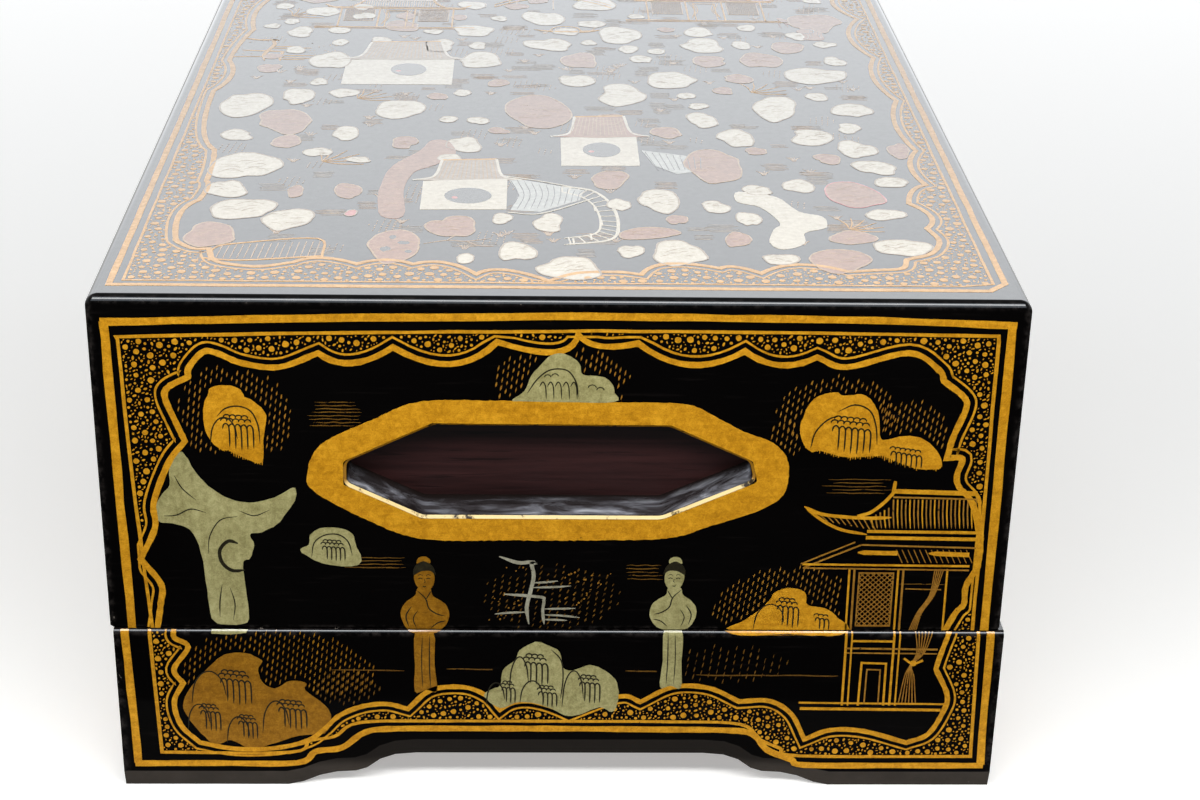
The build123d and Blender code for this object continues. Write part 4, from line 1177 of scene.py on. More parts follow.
def far_lady(sk):
    lady(sk, "green", "ink", 29.9, 31.2, 37.4, -1, 31)


def pine_tree(sk):
    pine(sk, "bone", "gold_dim", -7.4, 49.6, 0.98, 1, 8)


near_lady(F)
far_lady(F)
pine_tree(F)
lines(F, "gold_faint", 16.6, 27.0, 67.0, 5, 1.0, 0.28, 9)
hatch(F, "gold_faint", -1.5, 57.5, 18.5, 10.0, seed=12, pitch=1.9, length=1.2, w=0.34, lean=30, drop=0.3)

# green rock over the hole
RC = [(-11.7, 113.6), (-8.8, 115.8), (-7.1, 120.1), (-3.9, 124.1), (-1.2, 126), (1.7, 125.5), (4.4, 123.4), (5.4, 120.4), (8.0, 120.0), (10.8, 119.5), (12.8, 117.8), (13.4, 115.4), (13.5, 113.0), (1, 112.9), (-10.5, 113.0)]
q = blob(F, "green", RC, 4, seed=7, top=0.115)
F.ribbon("ink", smooth([(-8.2, 115.2), (-5.6, 119.2), (-2.4, 121.6), (1.6, 121.4), (3.8, 118.2), (4.4, 114.2)], 6), 0.36, 0.155, 0.115, taper=0.15)
for k in range(5):
    x = -4.6 + k * 1.9
    F.ribbon("ink", smooth([(x - 0.6, 117.0), (x + 0.2, 118.3), (x + 0.9, 117.0), (x + 1.1, 113.6)], 5), 0.30, 0.155, 0.115, taper=0.2)
for x, y, r in ((-3.2, 119.6, 0.8), (-1.4, 119.9, 0.8), (7.8, 116.8, 1.0), (9.8, 116.2, 0.9)):
    F.ribbon("ink", [(x + r * math.cos(math.radians(a)), y + r * 0.8 * math.sin(math.radians(a))) for a in range(0, 181, 30)], 0.27, 0.155, 0.115)
hatch(F, "gold_dim", 0.5, 118.0, 17.0, 10.5, [q, GILT], seed=13, within=SCAL, foot=113.6)

# rock at the foot, right
RS = [(45.2, 47.8), (48.4, 51), (51.4, 53.4), (54.6, 56.9), (55.8, 59.3), (59.6, 60.5), (63.5, 59.3), (64.5, 55.5), (69, 54.6), (72.5, 51.7), (73.9, 47.8)]
q = blob(F, "gold", RS, 4, seed=8)
folds(F, 59.4, 55.2, 1.15, 4, 6.2, 0.16, 2, 0.36)
big_arc(F, 50.6, 58.6, 48.2, 7.4, 0.36)
folds(F, 68.4, 51.6, 1.0, 3, 3.4, 0.2, 1, 0.34)
hatch(F, "gold_dim", 59.0, 53.5, 19.0, 13.5, [q, [(73.6, 40), (73.6, 70), (110, 70), (110, 40)]], seed=14, foot=50.0)

# rocks, upper right
RR = [(59.7, 105.5), (60.7, 110.5), (62.9, 114.3), (67.8, 116), (70.3, 115), (74.5, 115.5), (77.4, 113.4), (79.1, 109.8), (79.8, 104.3), (81.1, 102.9), (86.1, 104.1),
      (91.2, 103), (95.2, 98.8), (95.6, 95.2), (90.5, 94.9), (85.4, 96.5), (80.7, 98.5), (72.7, 98.1), (68.9, 98.7), (65, 100), (63, 99.5), (60.9, 101.4)]
q = blob(F, "gold", RR, 4, seed=9)
fringe(F, "gold", [(61.4, 101.2), (65.0, 100.1), (69.0, 98.9), (72.7, 98.3), (80.0, 98.6), (85.4, 96.7), (90.4, 95.2), (95.2, 95.4)], 9)
folds(F, 72.6, 106.6, 1.35, 6, 7.4, 0.16, 2, 0.38)
F.ribbon("ink", smooth([(62.6, 100.6), (63.6, 105.0), (66.4, 108.4), (69.4, 109.6)], 5), 0.38, 0.14, 0.085, taper=0.2)
F.ribbon("ink", smooth([(69.0, 110.8), (73.0, 112.6), (76.8, 111.0), (78.6, 106.8), (79.2, 101.6)], 5), 0.38, 0.14, 0.085, taper=0.2)
folds(F, 86.8, 99.6, 1.10, 6, 4.2, 0.22, 1, 0.36)
for hx, hy, ha, hb, hf in ((68.5, 110.0, 15.0, 10.5, 102.5), (86.0, 104.5, 11.5, 9.5, 101.0), (56.6, 103.5, 5.0, 5.0, 99.0)):
    hatch(F, "gold_dim", hx, hy, ha, hb, [q, GILT], seed=15 + int(hx), within=SCAL, foot=hf)
lines(F, "gold_faint", 65.6, 85.0, 91.8, 5, 0.95, 0.28, 10)

# waterside hall, right
G, D = "gold", "gold_dim"
F.ribbon(G, smooth([(62.0, 84.2), (66.1, 82.1), (72.5, 81.2), (79.0, 80.9), (84.3, 81.1)], 5), 0.9, taper=0.15)
F.ribbon(G, smooth([(62.0, 84.2), (66.2, 80.6), (71.6, 77.6), (78.4, 76.2)], 5), 0.8, taper=0.15)
F.ribbon(G, smooth([(75.6, 81.4), (79.0, 82.6), (82.2, 85.4), (84.2, 88.0)], 5), 0.85)
F.ribbon(G, [(84.2, 87.2), (84.6, 91.4)], 0.9, taper=0.3)
F.ribbon(G, [(84.4, 88.6), (105.6, 88.0)], 1.25)
F.ribbon(D, [(84.4, 86.9), (105.8, 86.4)], 0.42)
F.ribbon(G, smooth([(105.2, 88.2), (106.4, 85.2), (107.0, 80.2), (108.2, 74.9)], 5), 0.8, taper=0.1)
F.ribbon(G, [(78.4, 77.1), (108.2, 76.8)], 0.8)
F.ribbon(G, [(78.2, 75.3), (108.4, 74.9)], 0.95)
for i in range(27):
    x = 79.4 + i * 1.05
    yt = 86.6 if x > 84.6 else 81.4 + max(0.0, x - 79.0) * 0.62
    F.ribbon(D if i % 3 else G, [(x + 0.5, 78.0), (x, (78.0 + yt) / 2), (x - 0.15, yt - 0.4)], 0.34, 0.07, taper=0.12)
for i in range(10):
    x = 64.6 + i * 1.55
    F.ribbon(D, [(x, 81.9 - i * 0.10), (x + 2.0, 80.2 - i * 0.32)], 0.26, 0.06)
F.ribbon(D, [(62.6, 66.4), (70.0, 69.9), (77.2, 73.2)], 0.42)
F.ribbon(D, [(62.0, 67.6), (69.0, 70.9), (75.6, 74.0)], 0.36)
F.ribbon(D, [(77.2, 73.2), (106.6, 72.4)], 0.40)
F.ribbon(D, [(62.6, 66.4), (105.4, 65.9)], 0.36)
F.ribbon(G, [(62.4, 67.5), (105.4, 67.1)], 0.55)
F.ribbon(G, [(76.4, 71.0), (86.6, 70.8)], 1.25, taper=0.08)
F.ribbon(G, [(94.6, 70.8), (105.0, 70.4)], 1.25, taper=0.08)
for i in range(13):
    F.ribbon(D, [(88.0 + i * 1.5, 68.0), (86.2 + i * 1.5, 71.8)], 0.2, 0.05)
for x in (74.6, 75.9, 87.2, 88.5, 99.8):
    F.ribbon(D if x in (75.9, 88.5) else G, [(x, 66.2), (x + 0.1, 48.0)], 0.5)
F.ribbon(D, rect(77.2, 49.4, 86.0, 65.0), 0.36, closed=True)
for i in range(1, 17):
    s = (8.8 + 15.6) * i / 17
    p = (77.2 + min(s, 8.8), 49.4 + max(0, s - 8.8))
    r_ = (77.2 + max(0, s - 15.6), 49.4 + min(s, 15.6))
    F.ribbon(D, [p, r_], 0.20, 0.05)
    F.ribbon(D, [(163.2 - p[0], p[1]), (163.2 - r_[0], r_[1])], 0.20, 0.05)
for k in range(5):
    F.ribbon(D, smooth([(98.8 - k * 0.55, 66.0), (97.0 - k * 0.3, 58.6), (94.2 - k * 0.3, 53.4), (93.0 - k * 0.45, 48.0)], 5), 0.26, 0.06)
F.ribbon(D, [(89.4, 60.4), (98.6, 60.2)], 0.26)
# loose threads of mist
lines(F, "gold_faint", 86.5, 101.5, 61.8, 1, 1.0, 0.26, 16)

# ---------------------------------------------------------- base, front
B = base_front
B.ribbon("gold", hand_line([(-111.1, 48.2), (-110.0, 7.6)], 0.10, 21), 2.0, rag=0.10)
B.ribbon("gold", smooth([(-110.9, 7.4), (-90, 7.5), (-68.4, 7.6), (-63.3, 11.2), (-56.4, 12.4), (-50.2, 17.2), (-42, 18.3), (-20, 18.4), (1, 18.4), (26, 18.2), (44, 18.0), (51.7, 16.9),
                         (56, 11.9), (62.5, 8.9), (66.2, 7.1), (90, 7.0), (114.0, 7.0)], 5), 1.7, rag=0.10)
B.ribbon("gold", hand_line([(113.2, 7.4), (112.4, 48.2)], 0.10, 22), 2.0, rag=0.10)
SECB = ([(-104.8, 48.1), (-103.7, 11.2)]
        + smooth([(-103.7, 10.9), (-70.1, 10.9), (-64.8, 14.5), (-58.2, 15.9), (-51.5, 20.2), (-30, 20.7), (1, 20.7), (30, 20.6), (48.4, 19.9), (54, 15.1), (59.4, 12.4), (64.9, 10.0), (110.4, 9.9)], 5)
        + [(110.3, 12.0), (109.3, 48.1)])
B.ribbon("gold", SECB, 0.85, rag=0.12)
SCB = cusped([(-98.6, 48.2), (-98.4, 45.7), (-95.1, 43.0), (-99.1, 36.4), (-97.0, 32.1)],
             [(-99.6, 26.4), (-98.2, 19.2), (-93.6, 13.9)], [(-84.6, 12.0), (-74.0, 12.2), (-65.2, 14.6), (-60.6, 18.4)],
             [(-56.7, 22.4), (-50.6, 25.2), (-44.3, 25.9), (-38.9, 24.4)], [(-32.8, 30.2), (-24.2, 31.1), (-18.2, 28.4), (-14.8, 24.2)],
             [(-7.5, 26.9), (3.3, 23.0)], [(11.9, 26.9), (17.9, 28.5), (21.9, 26.7)], [(30.4, 31.3), (39.8, 31.0), (47.9, 26.9)],
             [(55.8, 27.1), (61.8, 23.1), (65.7, 15.2)], [(72.4, 18.1), (81.2, 17.8), (92.9, 14.2)], [(98.5, 16.9), (101.9, 23.8), (102.6, 29.0), (99.0, 37.0)],
             [(100.0, 41.8), (101.7, 48.2)])
B.ribbon("gold", SCB, 1.35, rag=0.12)
THB = offset(SCB, -2.0)
B.ribbon("gold", THB, 0.5, 0.08, rag=0.15)
speckle(B, "gold", SECB + THB[::-1], None, 31, gap=0.5, big=0.74, per=1.7)

CL = [(-95.3, 30.6), (-97.4, 25.4), (-95.8, 20.8), (-92.2, 15.6), (-89.2, 13.4), (-85.2, 14.7), (-80.6, 12.0), (-75.3, 13.3), (-67.3, 16.2), (-60.8, 16.8), (-59, 21.5), (-60.5, 25.5), (-65.5, 30.1),
      (-65.0, 32.2), (-69.3, 32.9), (-73.3, 30.6), (-76.6, 32.5), (-77.4, 36.7), (-76.3, 39.1), (-80.6, 41.2), (-85.8, 40.8), (-89.8, 37.3)]
q = blob(B, "gold_deep", CL, 4, seed=10, top=0.10)
for x, y, s, n, d_, w_, (a0, a1, yb, hh) in ((-83.4, 33.4, 1.30, 5, 7.6, 0.38, (-95.0, -86.0, 26.0, 9.6)), (-90.4, 23.6, 1.05, 4, 6.0, 0.36, (-96.4, -90.6, 18.0, 7.6)),
                                             (-69.0, 24.6, 1.20, 5, 6.4, 0.38, (-77.0, -70.0, 17.0, 9.6)), (-80.8, 20.4, 1.0, 4, 5.2, 0.34, (-86.4, -80.4, 14.0, 7.8))):
    folds(B, x, y, s, n, d_, 0.16, 2, w_)
    big_arc(B, a0, a1, yb, hh, 0.36)
hatch(B, "gold_deep", -74.0, 35.0, 27.0, 13.0, [q], seed=17, within=SCB + [(101, 60), (-98, 60)], foot=29.0)
hatch(B, "gold_faint", -55.0, 30.0, 9.0, 6.0, [q], seed=18, within=SCB + [(101, 60), (-98, 60)], foot=26.0)

CG = [(-19, 28.4), (-17.4, 30.2), (-14.8, 31.8), (-14, 36.3), (-10.9, 39.4), (-9.7, 42.4), (-5.8, 44.8), (-3.2, 44.2), (0.7, 41.8), (1.3, 37.6), (3.9, 36.2), (8.6, 37.9), (12.8, 36.1), (15.7, 32.5),
      (16.1, 27.3), (14.6, 23.6), (11.4, 25.1), (6.2, 22.9), (2.2, 22.6), (-3, 25.4), (-9.6, 26.6), (-14.8, 24.7)]
q = blob(B, "green", CG, 4, seed=11, top=0.10)
for x, y, s, n, d_, w_, (a0, a1, yb, hh) in ((-5.4, 38.6, 1.25, 4, 6.6, 0.40, (-12.4, -7.4, 30.0, 10.2)), (-12.6, 31.0, 0.95, 3, 4.6, 0.36, (-18.4, -13.6, 25.8, 6.6)),
                                             (8.6, 32.6, 1.10, 4, 6.2, 0.38, (1.4, 7.0, 25.0, 11.0)), (-2.4, 29.6, 1.0, 4, 4.4, 0.36, (-9.6, -3.6, 26.4, 6.6))):
    folds(B, x, y, s, n, d_, 0.14, 2, w_)
    big_arc(B, a0, a1, yb, hh, 0.38)
B.ribbon("ink", smooth([(-1.6, 42.6), (1.0, 39.4), (1.6, 34.0), (1.0, 27.6)], 5), 0.36, 0.14, 0.085, taper=0.2)
near_lady(B)
far_lady(B)
pine_tree(B)
B.poly("green", [(-89.0, 47.0), (-88.9, 48.2), (-79.6, 48.2), (-80.0, 47.2), (-84.0, 46.8)])
q2 = blob(B, "gold", [(45.0, 49.5), (45.4, 47.2), (52, 46.9), (60, 47.3), (68, 46.9), (73.6, 47.2), (74.0, 49.5)], 3, seed=12, top=0.08)
for a, b, z in ((-58.6, -39.6, 36.3), (-28.6, -16.8, 36.7), (17.8, 26.0, 36.2), (36.2, 73.4, 35.0)):
    B.ribbon("gold_faint", hand_line([(a, z), (b, z - 0.2)], 0.12, int(a * 3 + 400), 4.0), 0.32, 0.06, taper=0.1)
hatch(B, "gold_faint", 44.0, 38.5, 17.0, 5.5, seed=18, pitch=2.0, w=0.26)
# foot of the hall
for x, w in ((74.9, 0.6), (76.4, 0.42), (87.4, 0.6), (88.9, 0.42)):
    B.ribbon("gold", [(x, 48.2), (x + 0.1, 25.8)], w)
B.ribbon("gold_dim", [(74.9, 43.2), (99.0, 42.9)], 0.5)
B.ribbon("gold_dim", [(74.9, 41.8), (99.0, 41.6)], 0.36)
B.ribbon("gold", [(76.6, 45.4), (87.2, 45.3)], 0.6)
B.ribbon("gold", [(79.2, 25.8), (79.4, 38.8), (85.8, 38.6), (85.9, 25.8)], 0.55)
B.ribbon("gold_dim", [(80.8, 26.2), (80.9, 36.8), (84.4, 36.7), (84.5, 26.2)], 0.36)
for k in range(6):
    B.ribbon("gold_dim", smooth([(97.4 - k * 0.9, 48.2), (95.6 - k * 0.4, 42.0), (92.6 - k * 0.1, 38.0), (93.4 - k * 0.5, 34.6), (94.4 - k * 0.9, 26.6)], 5), 0.26, 0.06)
B.ribbon("gold", smooth([(90.4, 40.2), (92.8, 38.6), (95.4, 39.6)], 5), 0.6)
B.dot("gold", 92.9, 38.7, 0.9)
B.ribbon("gold", [(63.6, 26.6), (102.0, 26.2)], 0.5)
B.ribbon("gold", [(64.0, 24.8), (101.2, 24.4)], 0.8)

# ---------------------------------------------------------- the top
T = case_top
T.ribbon("gold", hand_line(rect(-110.2, 8.0, 110.2, 337.0, 1), 0.10, 41, 9, True), 1.7, closed=True, rag=0.10)
T.ribbon("gold", hand_line(rect(-107.2, 10.9, 107.2, 334.1, 1), 0.10, 42, 9, True), 0.7, closed=True, rag=0.12)
left = [(-104, 164), (-102.4, 128), (-97, 109)], [(-96, 96), (-96, 83)], [(-95, 78), (-96, 68)], [(-99.6, 58), (-98.6, 41)], [(-97.5, 37), (-93, 32.4), (-89, 32.4)]
front_ = [(-87, 25), (-83, 22), (-75, 20.5), (-67, 23.4)], [(-60, 26.6), (-51, 22.6)], [(-44, 25.6), (-37, 22.8)], [(-29, 24.0), (-21, 16.4)], [(-14, 19.4), (-3, 12.4)], [(4, 17.6), (14, 18.6), (20, 17.0)], \
    [(27, 24.4), (40, 21.6)], [(44, 22.6), (50, 18.4)], [(60, 24.6), (72, 20)], [(79, 21.2), (86, 22.6), (88, 28.6)]
rgt = [(95, 33), (98.4, 42), (96.6, 51)], [(99, 60), (94.6, 70)], [(97, 80), (101.4, 85)], [(99.4, 100), (103, 114)], [(100.4, 138), (104, 161)]
loop_near = cusped(*left, *front_, *rgt)
far = [(100.0, 184), (103, 206)], [(98, 230), (103.5, 252)], [(97.6, 268), (99.4, 282)], [(95.4, 292), (99.0, 303)], [(95.0, 313), (88, 317)], [(82, 324), (72, 322)], [(62, 318.4), (52, 325)], \
    [(42, 320), (31, 325)], [(22, 320.6), (12, 328.6)], [(4, 325), (-3, 332)], [(-9, 326.6), (-20, 328)], [(-30, 320.4), (-41, 325)], [(-52, 319), (-62, 323)], [(-72, 319.4), (-84, 322.6), (-90, 314.6)], \
    [(-97, 309), (-95.4, 297)], [(-98.6, 283), (-97, 271)], [(-100.6, 252), (-99.0, 231)], [(-101.8, 214), (-103, 196)], [(-100.4, 180), (-104, 164)]
loop = chain([loop_near, cusped([(104, 161)], *far)])[:-1]
T.ribbon("gold", loop, 1.5, closed=True, rag=0.12)
loop_o = offset(loop, -2.3, True)
if abs(area2(loop_o)) < abs(area2(loop)):
    loop_o = offset(loop, 2.3, True)
loop_o = [(min(max(x, -106.4), 106.4), min(max(y, 11.8), 333.2)) for x, y in loop_o]
T.ribbon("gold", loop_o, 0.7, 0.07, closed=True, rag=0.12)
speckle(T, "gold", rect(-107.2, 10.9, 107.2, 334.1, 12), loop_o, 43, gap=0.30, big=1.10, per=1.35, tiny=0.34)

ROCKS = [(-84, 62, 8.7, 8.4, "c"), (-71, 54, 7.3, 7.4, "c"), (-90, 42, 7.1, 8.6, "b"), (-90, 77, 5.4, 7.1, "c"), (-71, 75, 2.1, 4.7, "p"), (-57, 76, 3.5, 6.3, "p"), (-55, 59, 1.6, 2.3, "r"),
         (-24, 27, 2.4, 3.1, "c"), (-42, 36, 7.6, 10.6, "b"), (-15, 56, 2.6, 4.1, "c"), (-3, 53, 3.9, 6.7, "c"), (-11, 32, 4.6, 7, "c"), (2, 21, 7.3, 8.8, "c"), (16, 67, 3, 4.6, "c"),
         (27, 71, 6.2, 8.6, "c"), (42, 66, 3.5, 5, "c"), (31, 56, 2.7, 3.4, "p"), (23, 46, 7.8, 4.4, "b"), (18, 33, 3.1, 4.6, "c"), (30, 32, 7.2, 8.7, "c"), (46, 42, 3.1, 5.8, "p"),
         (50, 57, 3.2, 5.3, "c"), (66, 83, 4.1, 5.7, "c"), (56, 28, 4.6, 3.8, "c"), (80, 77, 7.7, 11.2, "b"), (87, 61, 5.4, 4.2, "c"), (76, 44, 5.8, 5.1, "b"), (88, 37, 7.3, 6.4, "c"),
         (71, 28, 8.2, 8.3, "b"), (92, 87, 5, 4.1, "c"), (-87, 96, 9.9, 11.7, "c"), (-93, 151, 7.7, 12.6, "c"), (-80, 136, 8.2, 11.2, "b"), (-61, 125, 4, 6.3, "c"), (44, 100, 9, 13.6, "b"),
         (52, 124, 5.2, 8.2, "c"), (66, 152, 6.7, 12.7, "c"), (74, 125, 6.5, 7.3, "c"), (86, 115, 5.8, 7.1, "c"), (89, 99, 6.2, 6, "c"), (98, 114, 3.4, 6.2, "p"), (-5, 148, 10.8, 15.5, "b"),
         (20, 164, 8, 10.1, "c"), (36, 180, 7.5, 9.4, "c"), (-24, 199, 7, 8.8, "c"), (43, 140, 4.2, 7.6, "c"), (-71, 197, 6.3, 9.8, "c"), (-78, 160, 4.8, 7.9, "c"), (82, 186, 9.5, 9.6, "c"),
         (89, 151, 6.1, 6.8, "c"), (8, 200, 5.8, 8.8, "p"), (-37, 215, 5.2, 6.8, "c"), (66, 202, 6.5, 8.9, "p"), (48, 218, 7.2, 8.1, "c")]
TONE = {"c": "cream", "b": "salmon", "p": "salmon", "r": "red"}
taken = []
for i, (x, y, rx, ry, c) in enumerate(ROCKS):
    stone(T, TONE[c], x, y, rx, ry, 500 + i, tone="fawn" if c == "c" else "gold_dim", edge="fawn" if c in "cr" else "red" if i % 3 == 0 else "gold_dim")
    taken.append((x, y, max(rx, ry) * 0.9))
SCENERY = [(-44, 58, 9), (-12, 98, 9), (-42, 88, 14), (-25, 75, 15), (-2, 73, 13), (11, 115, 20), (9, 60, 13), (-75, 30, 14), (59, 56, 16), (-45, 190, 26), (52, 265, 24), (-52, 285, 24)]
rs = random.Random(77)
tries = 0
while tries < 5000 and len(taken) < 150:
    tries += 1
    x, y = rs.uniform(-94, 94), rs.uniform(34, 316)
    if y < 205 and rs.random() < 0.72:
        continue
    r_ = rs.uniform(2.6, 8.6)
    if abs(x) > 97 - r_ or y > 315 - r_:
        continue
    if any(math.hypot(x - a, y - b) < r_ * 1.1 + c + 2.0 for a, b, c in taken) or any(math.hypot(x - a, y - b) < r_ + c for a, b, c in SCENERY):
        continue
    c = rs.choice("cccccbbp")
    stone(T, TONE[c], x, y, r_, r_ * rs.uniform(0.9, 1.35), 700 + len(taken), tone="fawn" if c == "c" else "gold_dim", edge="fawn" if c == "c" else "gold_dim")
    taken.append((x, y, r_ * 1.1))

# holes and a twig on the pierced rock
for x, y, a, b in ((-44.5, 33, 1.4, 1.9), (-40.0, 37.5, 1.7, 1.3), (-43.0, 41.5, 1.0, 1.5), (-38.6, 31.4, 0.9, 1.2)):
    T.dot("ink", x, y, a, 0.12, 0.08, 9, b / a)
for q in ([(-35, 37), (-29, 39.5), (-24, 39), (-18, 41)], [(-29, 39.5), (-27, 43), (-24, 44.5)], [(-24, 39), (-21, 36), (-17, 35.6)]):
    T.ribbon("gold_dim", smooth(q, 5), 0.45, 0.08, taper=0.3)
blob(T, "cream", [(49, 78), (59, 74), (64, 63), (70, 59), (70, 51), (64, 47), (63, 39), (57, 35), (54, 40), (56, 49), (58, 54), (54, 66), (48, 70)], 4, seed=70)
blob(T, "salmon", [(-47, 57), (-48.6, 72), (-48, 85), (-46, 97), (-39, 110), (-36, 119), (-31, 118), (-29, 106), (-35, 97), (-40, 91), (-42, 77), (-41, 57)], 4, seed=71)
for k in range(8):
    T.ribbon("gold_dim", smooth([(-46.6 + k * 0.25, 60 + k * 5.6), (-44.4, 61 + k * 5.6), (-42.6, 59.4 + k * 5.9)], 4), 0.24, 0.115, 0.08, taper=0.3)


def gate_hall(x, y, w, d, oval, seed):
    """A white-fronted garden hall with a round doorway and a swept roof beside it."""
    T.poly("cream", [(x, y), (x + w, y + 0.6), (x + w, y + d * 0.62), (x, y + d * 0.56)], 0.09)
    ox, oy, rx, ry = oval
    T.poly("ink", [(ox + rx * math.cos(a * math.pi / 12), oy + ry * math.sin(a * math.pi / 12)) for a in range(24)], 0.125, 0.08)
    T.dot("red", ox - rx * 0.55, oy - ry * 0.25, 0.9, 0.15, 0.11)
    roof = [(x - 3.0, y + d * 0.58), (x + w * 0.12, y + d * 0.66), (x + w * 0.20, y + d), (x + w * 0.86, y + d * 1.03), (x + w * 0.94, y + d * 0.68), (x + w + 4.0, y + d * 0.60), (x + w * 0.5, y + d * 0.56)]
    T.poly("fawn" if seed % 2 else "salmon", roof, 0.10)
    T.ribbon("cream", smooth(roof[:3], 5), 0.8, 0.13, 0.08)
    T.ribbon("gold", [roof[2], roof[3]], 1.1, 0.13, 0.08)
    T.ribbon("cream", smooth(roof[3:6], 5), 0.8, 0.13, 0.08)
    n = int(w / 1.5)
    for i in range(n):
        t = (i + 0.5) / n
        T.ribbon("gold_dim", [(x + w * (0.10 + 0.8 * t), y + d * 0.62), (x + w * (0.20 + 0.64 * t), y + d * 0.98)], 0.26, 0.13, 0.09)


gate_hall(-37, 62, 23, 40, (-24.5, 73, 6.4, 6.2), 1)
boatp = [(-14, 88), (7, 78), (5.6, 70), (-5, 61), (-13, 62), (-10.6, 74)]
T.poly("pale", boatp, 0.09)
for k in range(11):
    t = k / 10
    T.ribbon("ink", smooth([(-13 + 18 * t, 62.6 + 7 * t - 2.0 * math.sin(t * 3.1)), (-11 + 16.5 * t, 74 + 1.0 * t), (-13.4 + 20 * t, 87 - 9.4 * t)], 4), 0.24, 0.115, 0.08, taper=0.2)
T.ribbon("cream", smooth([(-16, 89.5), (-6, 85.6), (8.6, 78.0)], 5), 0.6, 0.12, 0.06)
T.ribbon("cream", smooth([(-13.6, 60.4), (-5, 59.6), (7.4, 70.0), (9.4, 72.0)], 5), 0.6, 0.12, 0.06)
gate_hall(1, 98, 22, 44, (12.6, 112, 5.4, 6.4), 2)
T.poly("pale", [(24, 112), (41, 106), (44, 96), (33, 92), (27, 99)], 0.09)
for k in range(9):
    t = k / 8
    T.ribbon("ink", [(28 + 12 * t, 95 + 1.5 * t), (25 + 15.5 * t, 110.6 - 4.6 * t)], 0.24, 0.115, 0.08)
# arched bridge
arc1 = smooth([(1, 81), (9, 78), (14, 67), (15.4, 52), (13, 41), (1, 37)], 7)
arc2 = smooth([(1, 76.4), (6, 73), (9.6, 65), (10.8, 53), (9.0, 45), (1, 41.6)], 7)
T.ribbon("cream", arc1, 0.9, taper=0.05)
T.ribbon("cream", arc2, 0.6, taper=0.05)
for p, q in list(zip(arc1, arc2))[::2]:
    T.ribbon("cream", [p, q], 0.45, 0.08)
for x, y, l in ((3.4, 41.6, 9), (8.0, 45, 9), (11, 55, 8), (9.4, 66, 8), (5.0, 74, 8)):
    T.ribbon("cream", [(x, y), (x + 0.2, y - l * 0.5)], 0.5, 0.08)
# low house by the near corner
T.ribbon("gold", smooth([(-88, 24.0), (-87.6, 33), (-81, 36.6), (-62, 40), (-60, 27)], 5), 0.7)
T.ribbon("gold", smooth([(-90, 26.0), (-80, 24.6), (-60, 28)], 5), 0.8)
for k in range(15):
    x = -86.5 + k * 1.75
    T.ribbon("gold_dim", [(x, 25.8 + k * 0.06), (x + 0.7, 34.6 + k * 0.26)], 0.28, 0.07)
# halls further off
gate_hall(-66, 172, 34, 46, (-46, 188, 5.6, 6.6), 3)
hall(T, "gold", "gold_dim", -78, -28, 232, 46, 4)
hall(T, "gold", "gold_dim", 26, 78, 244, 48, 5, -1)
gate_hall(-70, 268, 30, 36, (-55, 279, 5.2, 6.0), 6)
bridge(T, "gold", "gold_dim", -20, 20, 262, 12)
boat(T, "gold", "gold_dim", 4, 232, 1.2)
lady(T, "cream", "ink", -10, 286, 30, 1, 41)
lady(T, "cream", "ink", 14, 284, 29, -1, 42)
willow(T, "salmon", "ink", 86, 226, 0.85, -1, 43)
pine(T, "gold", "gold_dim", -92, 196, 1.25, 1, 44)
for cx, cy, s in ((76, 50, 1), (-66, 100, 1.3), (60, 168, 1.2), (-60, 158, 1.1), (18, 300, 1.0), (-88, 248, 1.2)):
    for k in range(6):
        a = -0.4 + k * 0.42
        T.ribbon("gold", smooth([(cx, cy), (cx + 4 * s * math.cos(a), cy + 4 * s * math.sin(a)), (cx + 9.4 * s * math.cos(a + 0.15), cy + 8.4 * s * math.sin(a + 0.2))], 4), 0.4, 0.08, taper=0.4)
# water, grass and mist between
free = random.Random(91)
n_done = 0
for _ in range(2600):
    x, y = free.uniform(-93, 93), free.uniform(32, 316)
    w_ = free.uniform(2.6, 5.2)
    if any(math.hypot(x - a, y - b) < c + w_ * 0.7 for a, b, c in taken) or any(math.hypot(x - a, y - b) < c * 0.72 for a, b, c in SCENERY):
        continue
    n_done += 1
    if n_done > 330:
        break
    k = free.random()
    if k < 0.5:
        lines(T, "fawn" if n_done % 2 else "gold_dim", x - w_, x + w_, y, free.randint(3, 6), 1.0, 0.26, n_done)
    elif k < 0.8:
        grass(T, "gold_dim", x, y, free.randint(4, 7), 3.4, 3.0, 0.30, n_done)
    else:
        hatch(T, "gold_dim", x, y, w_, w_, seed=n_done, pitch=1.7, length=1.2, w=0.30)

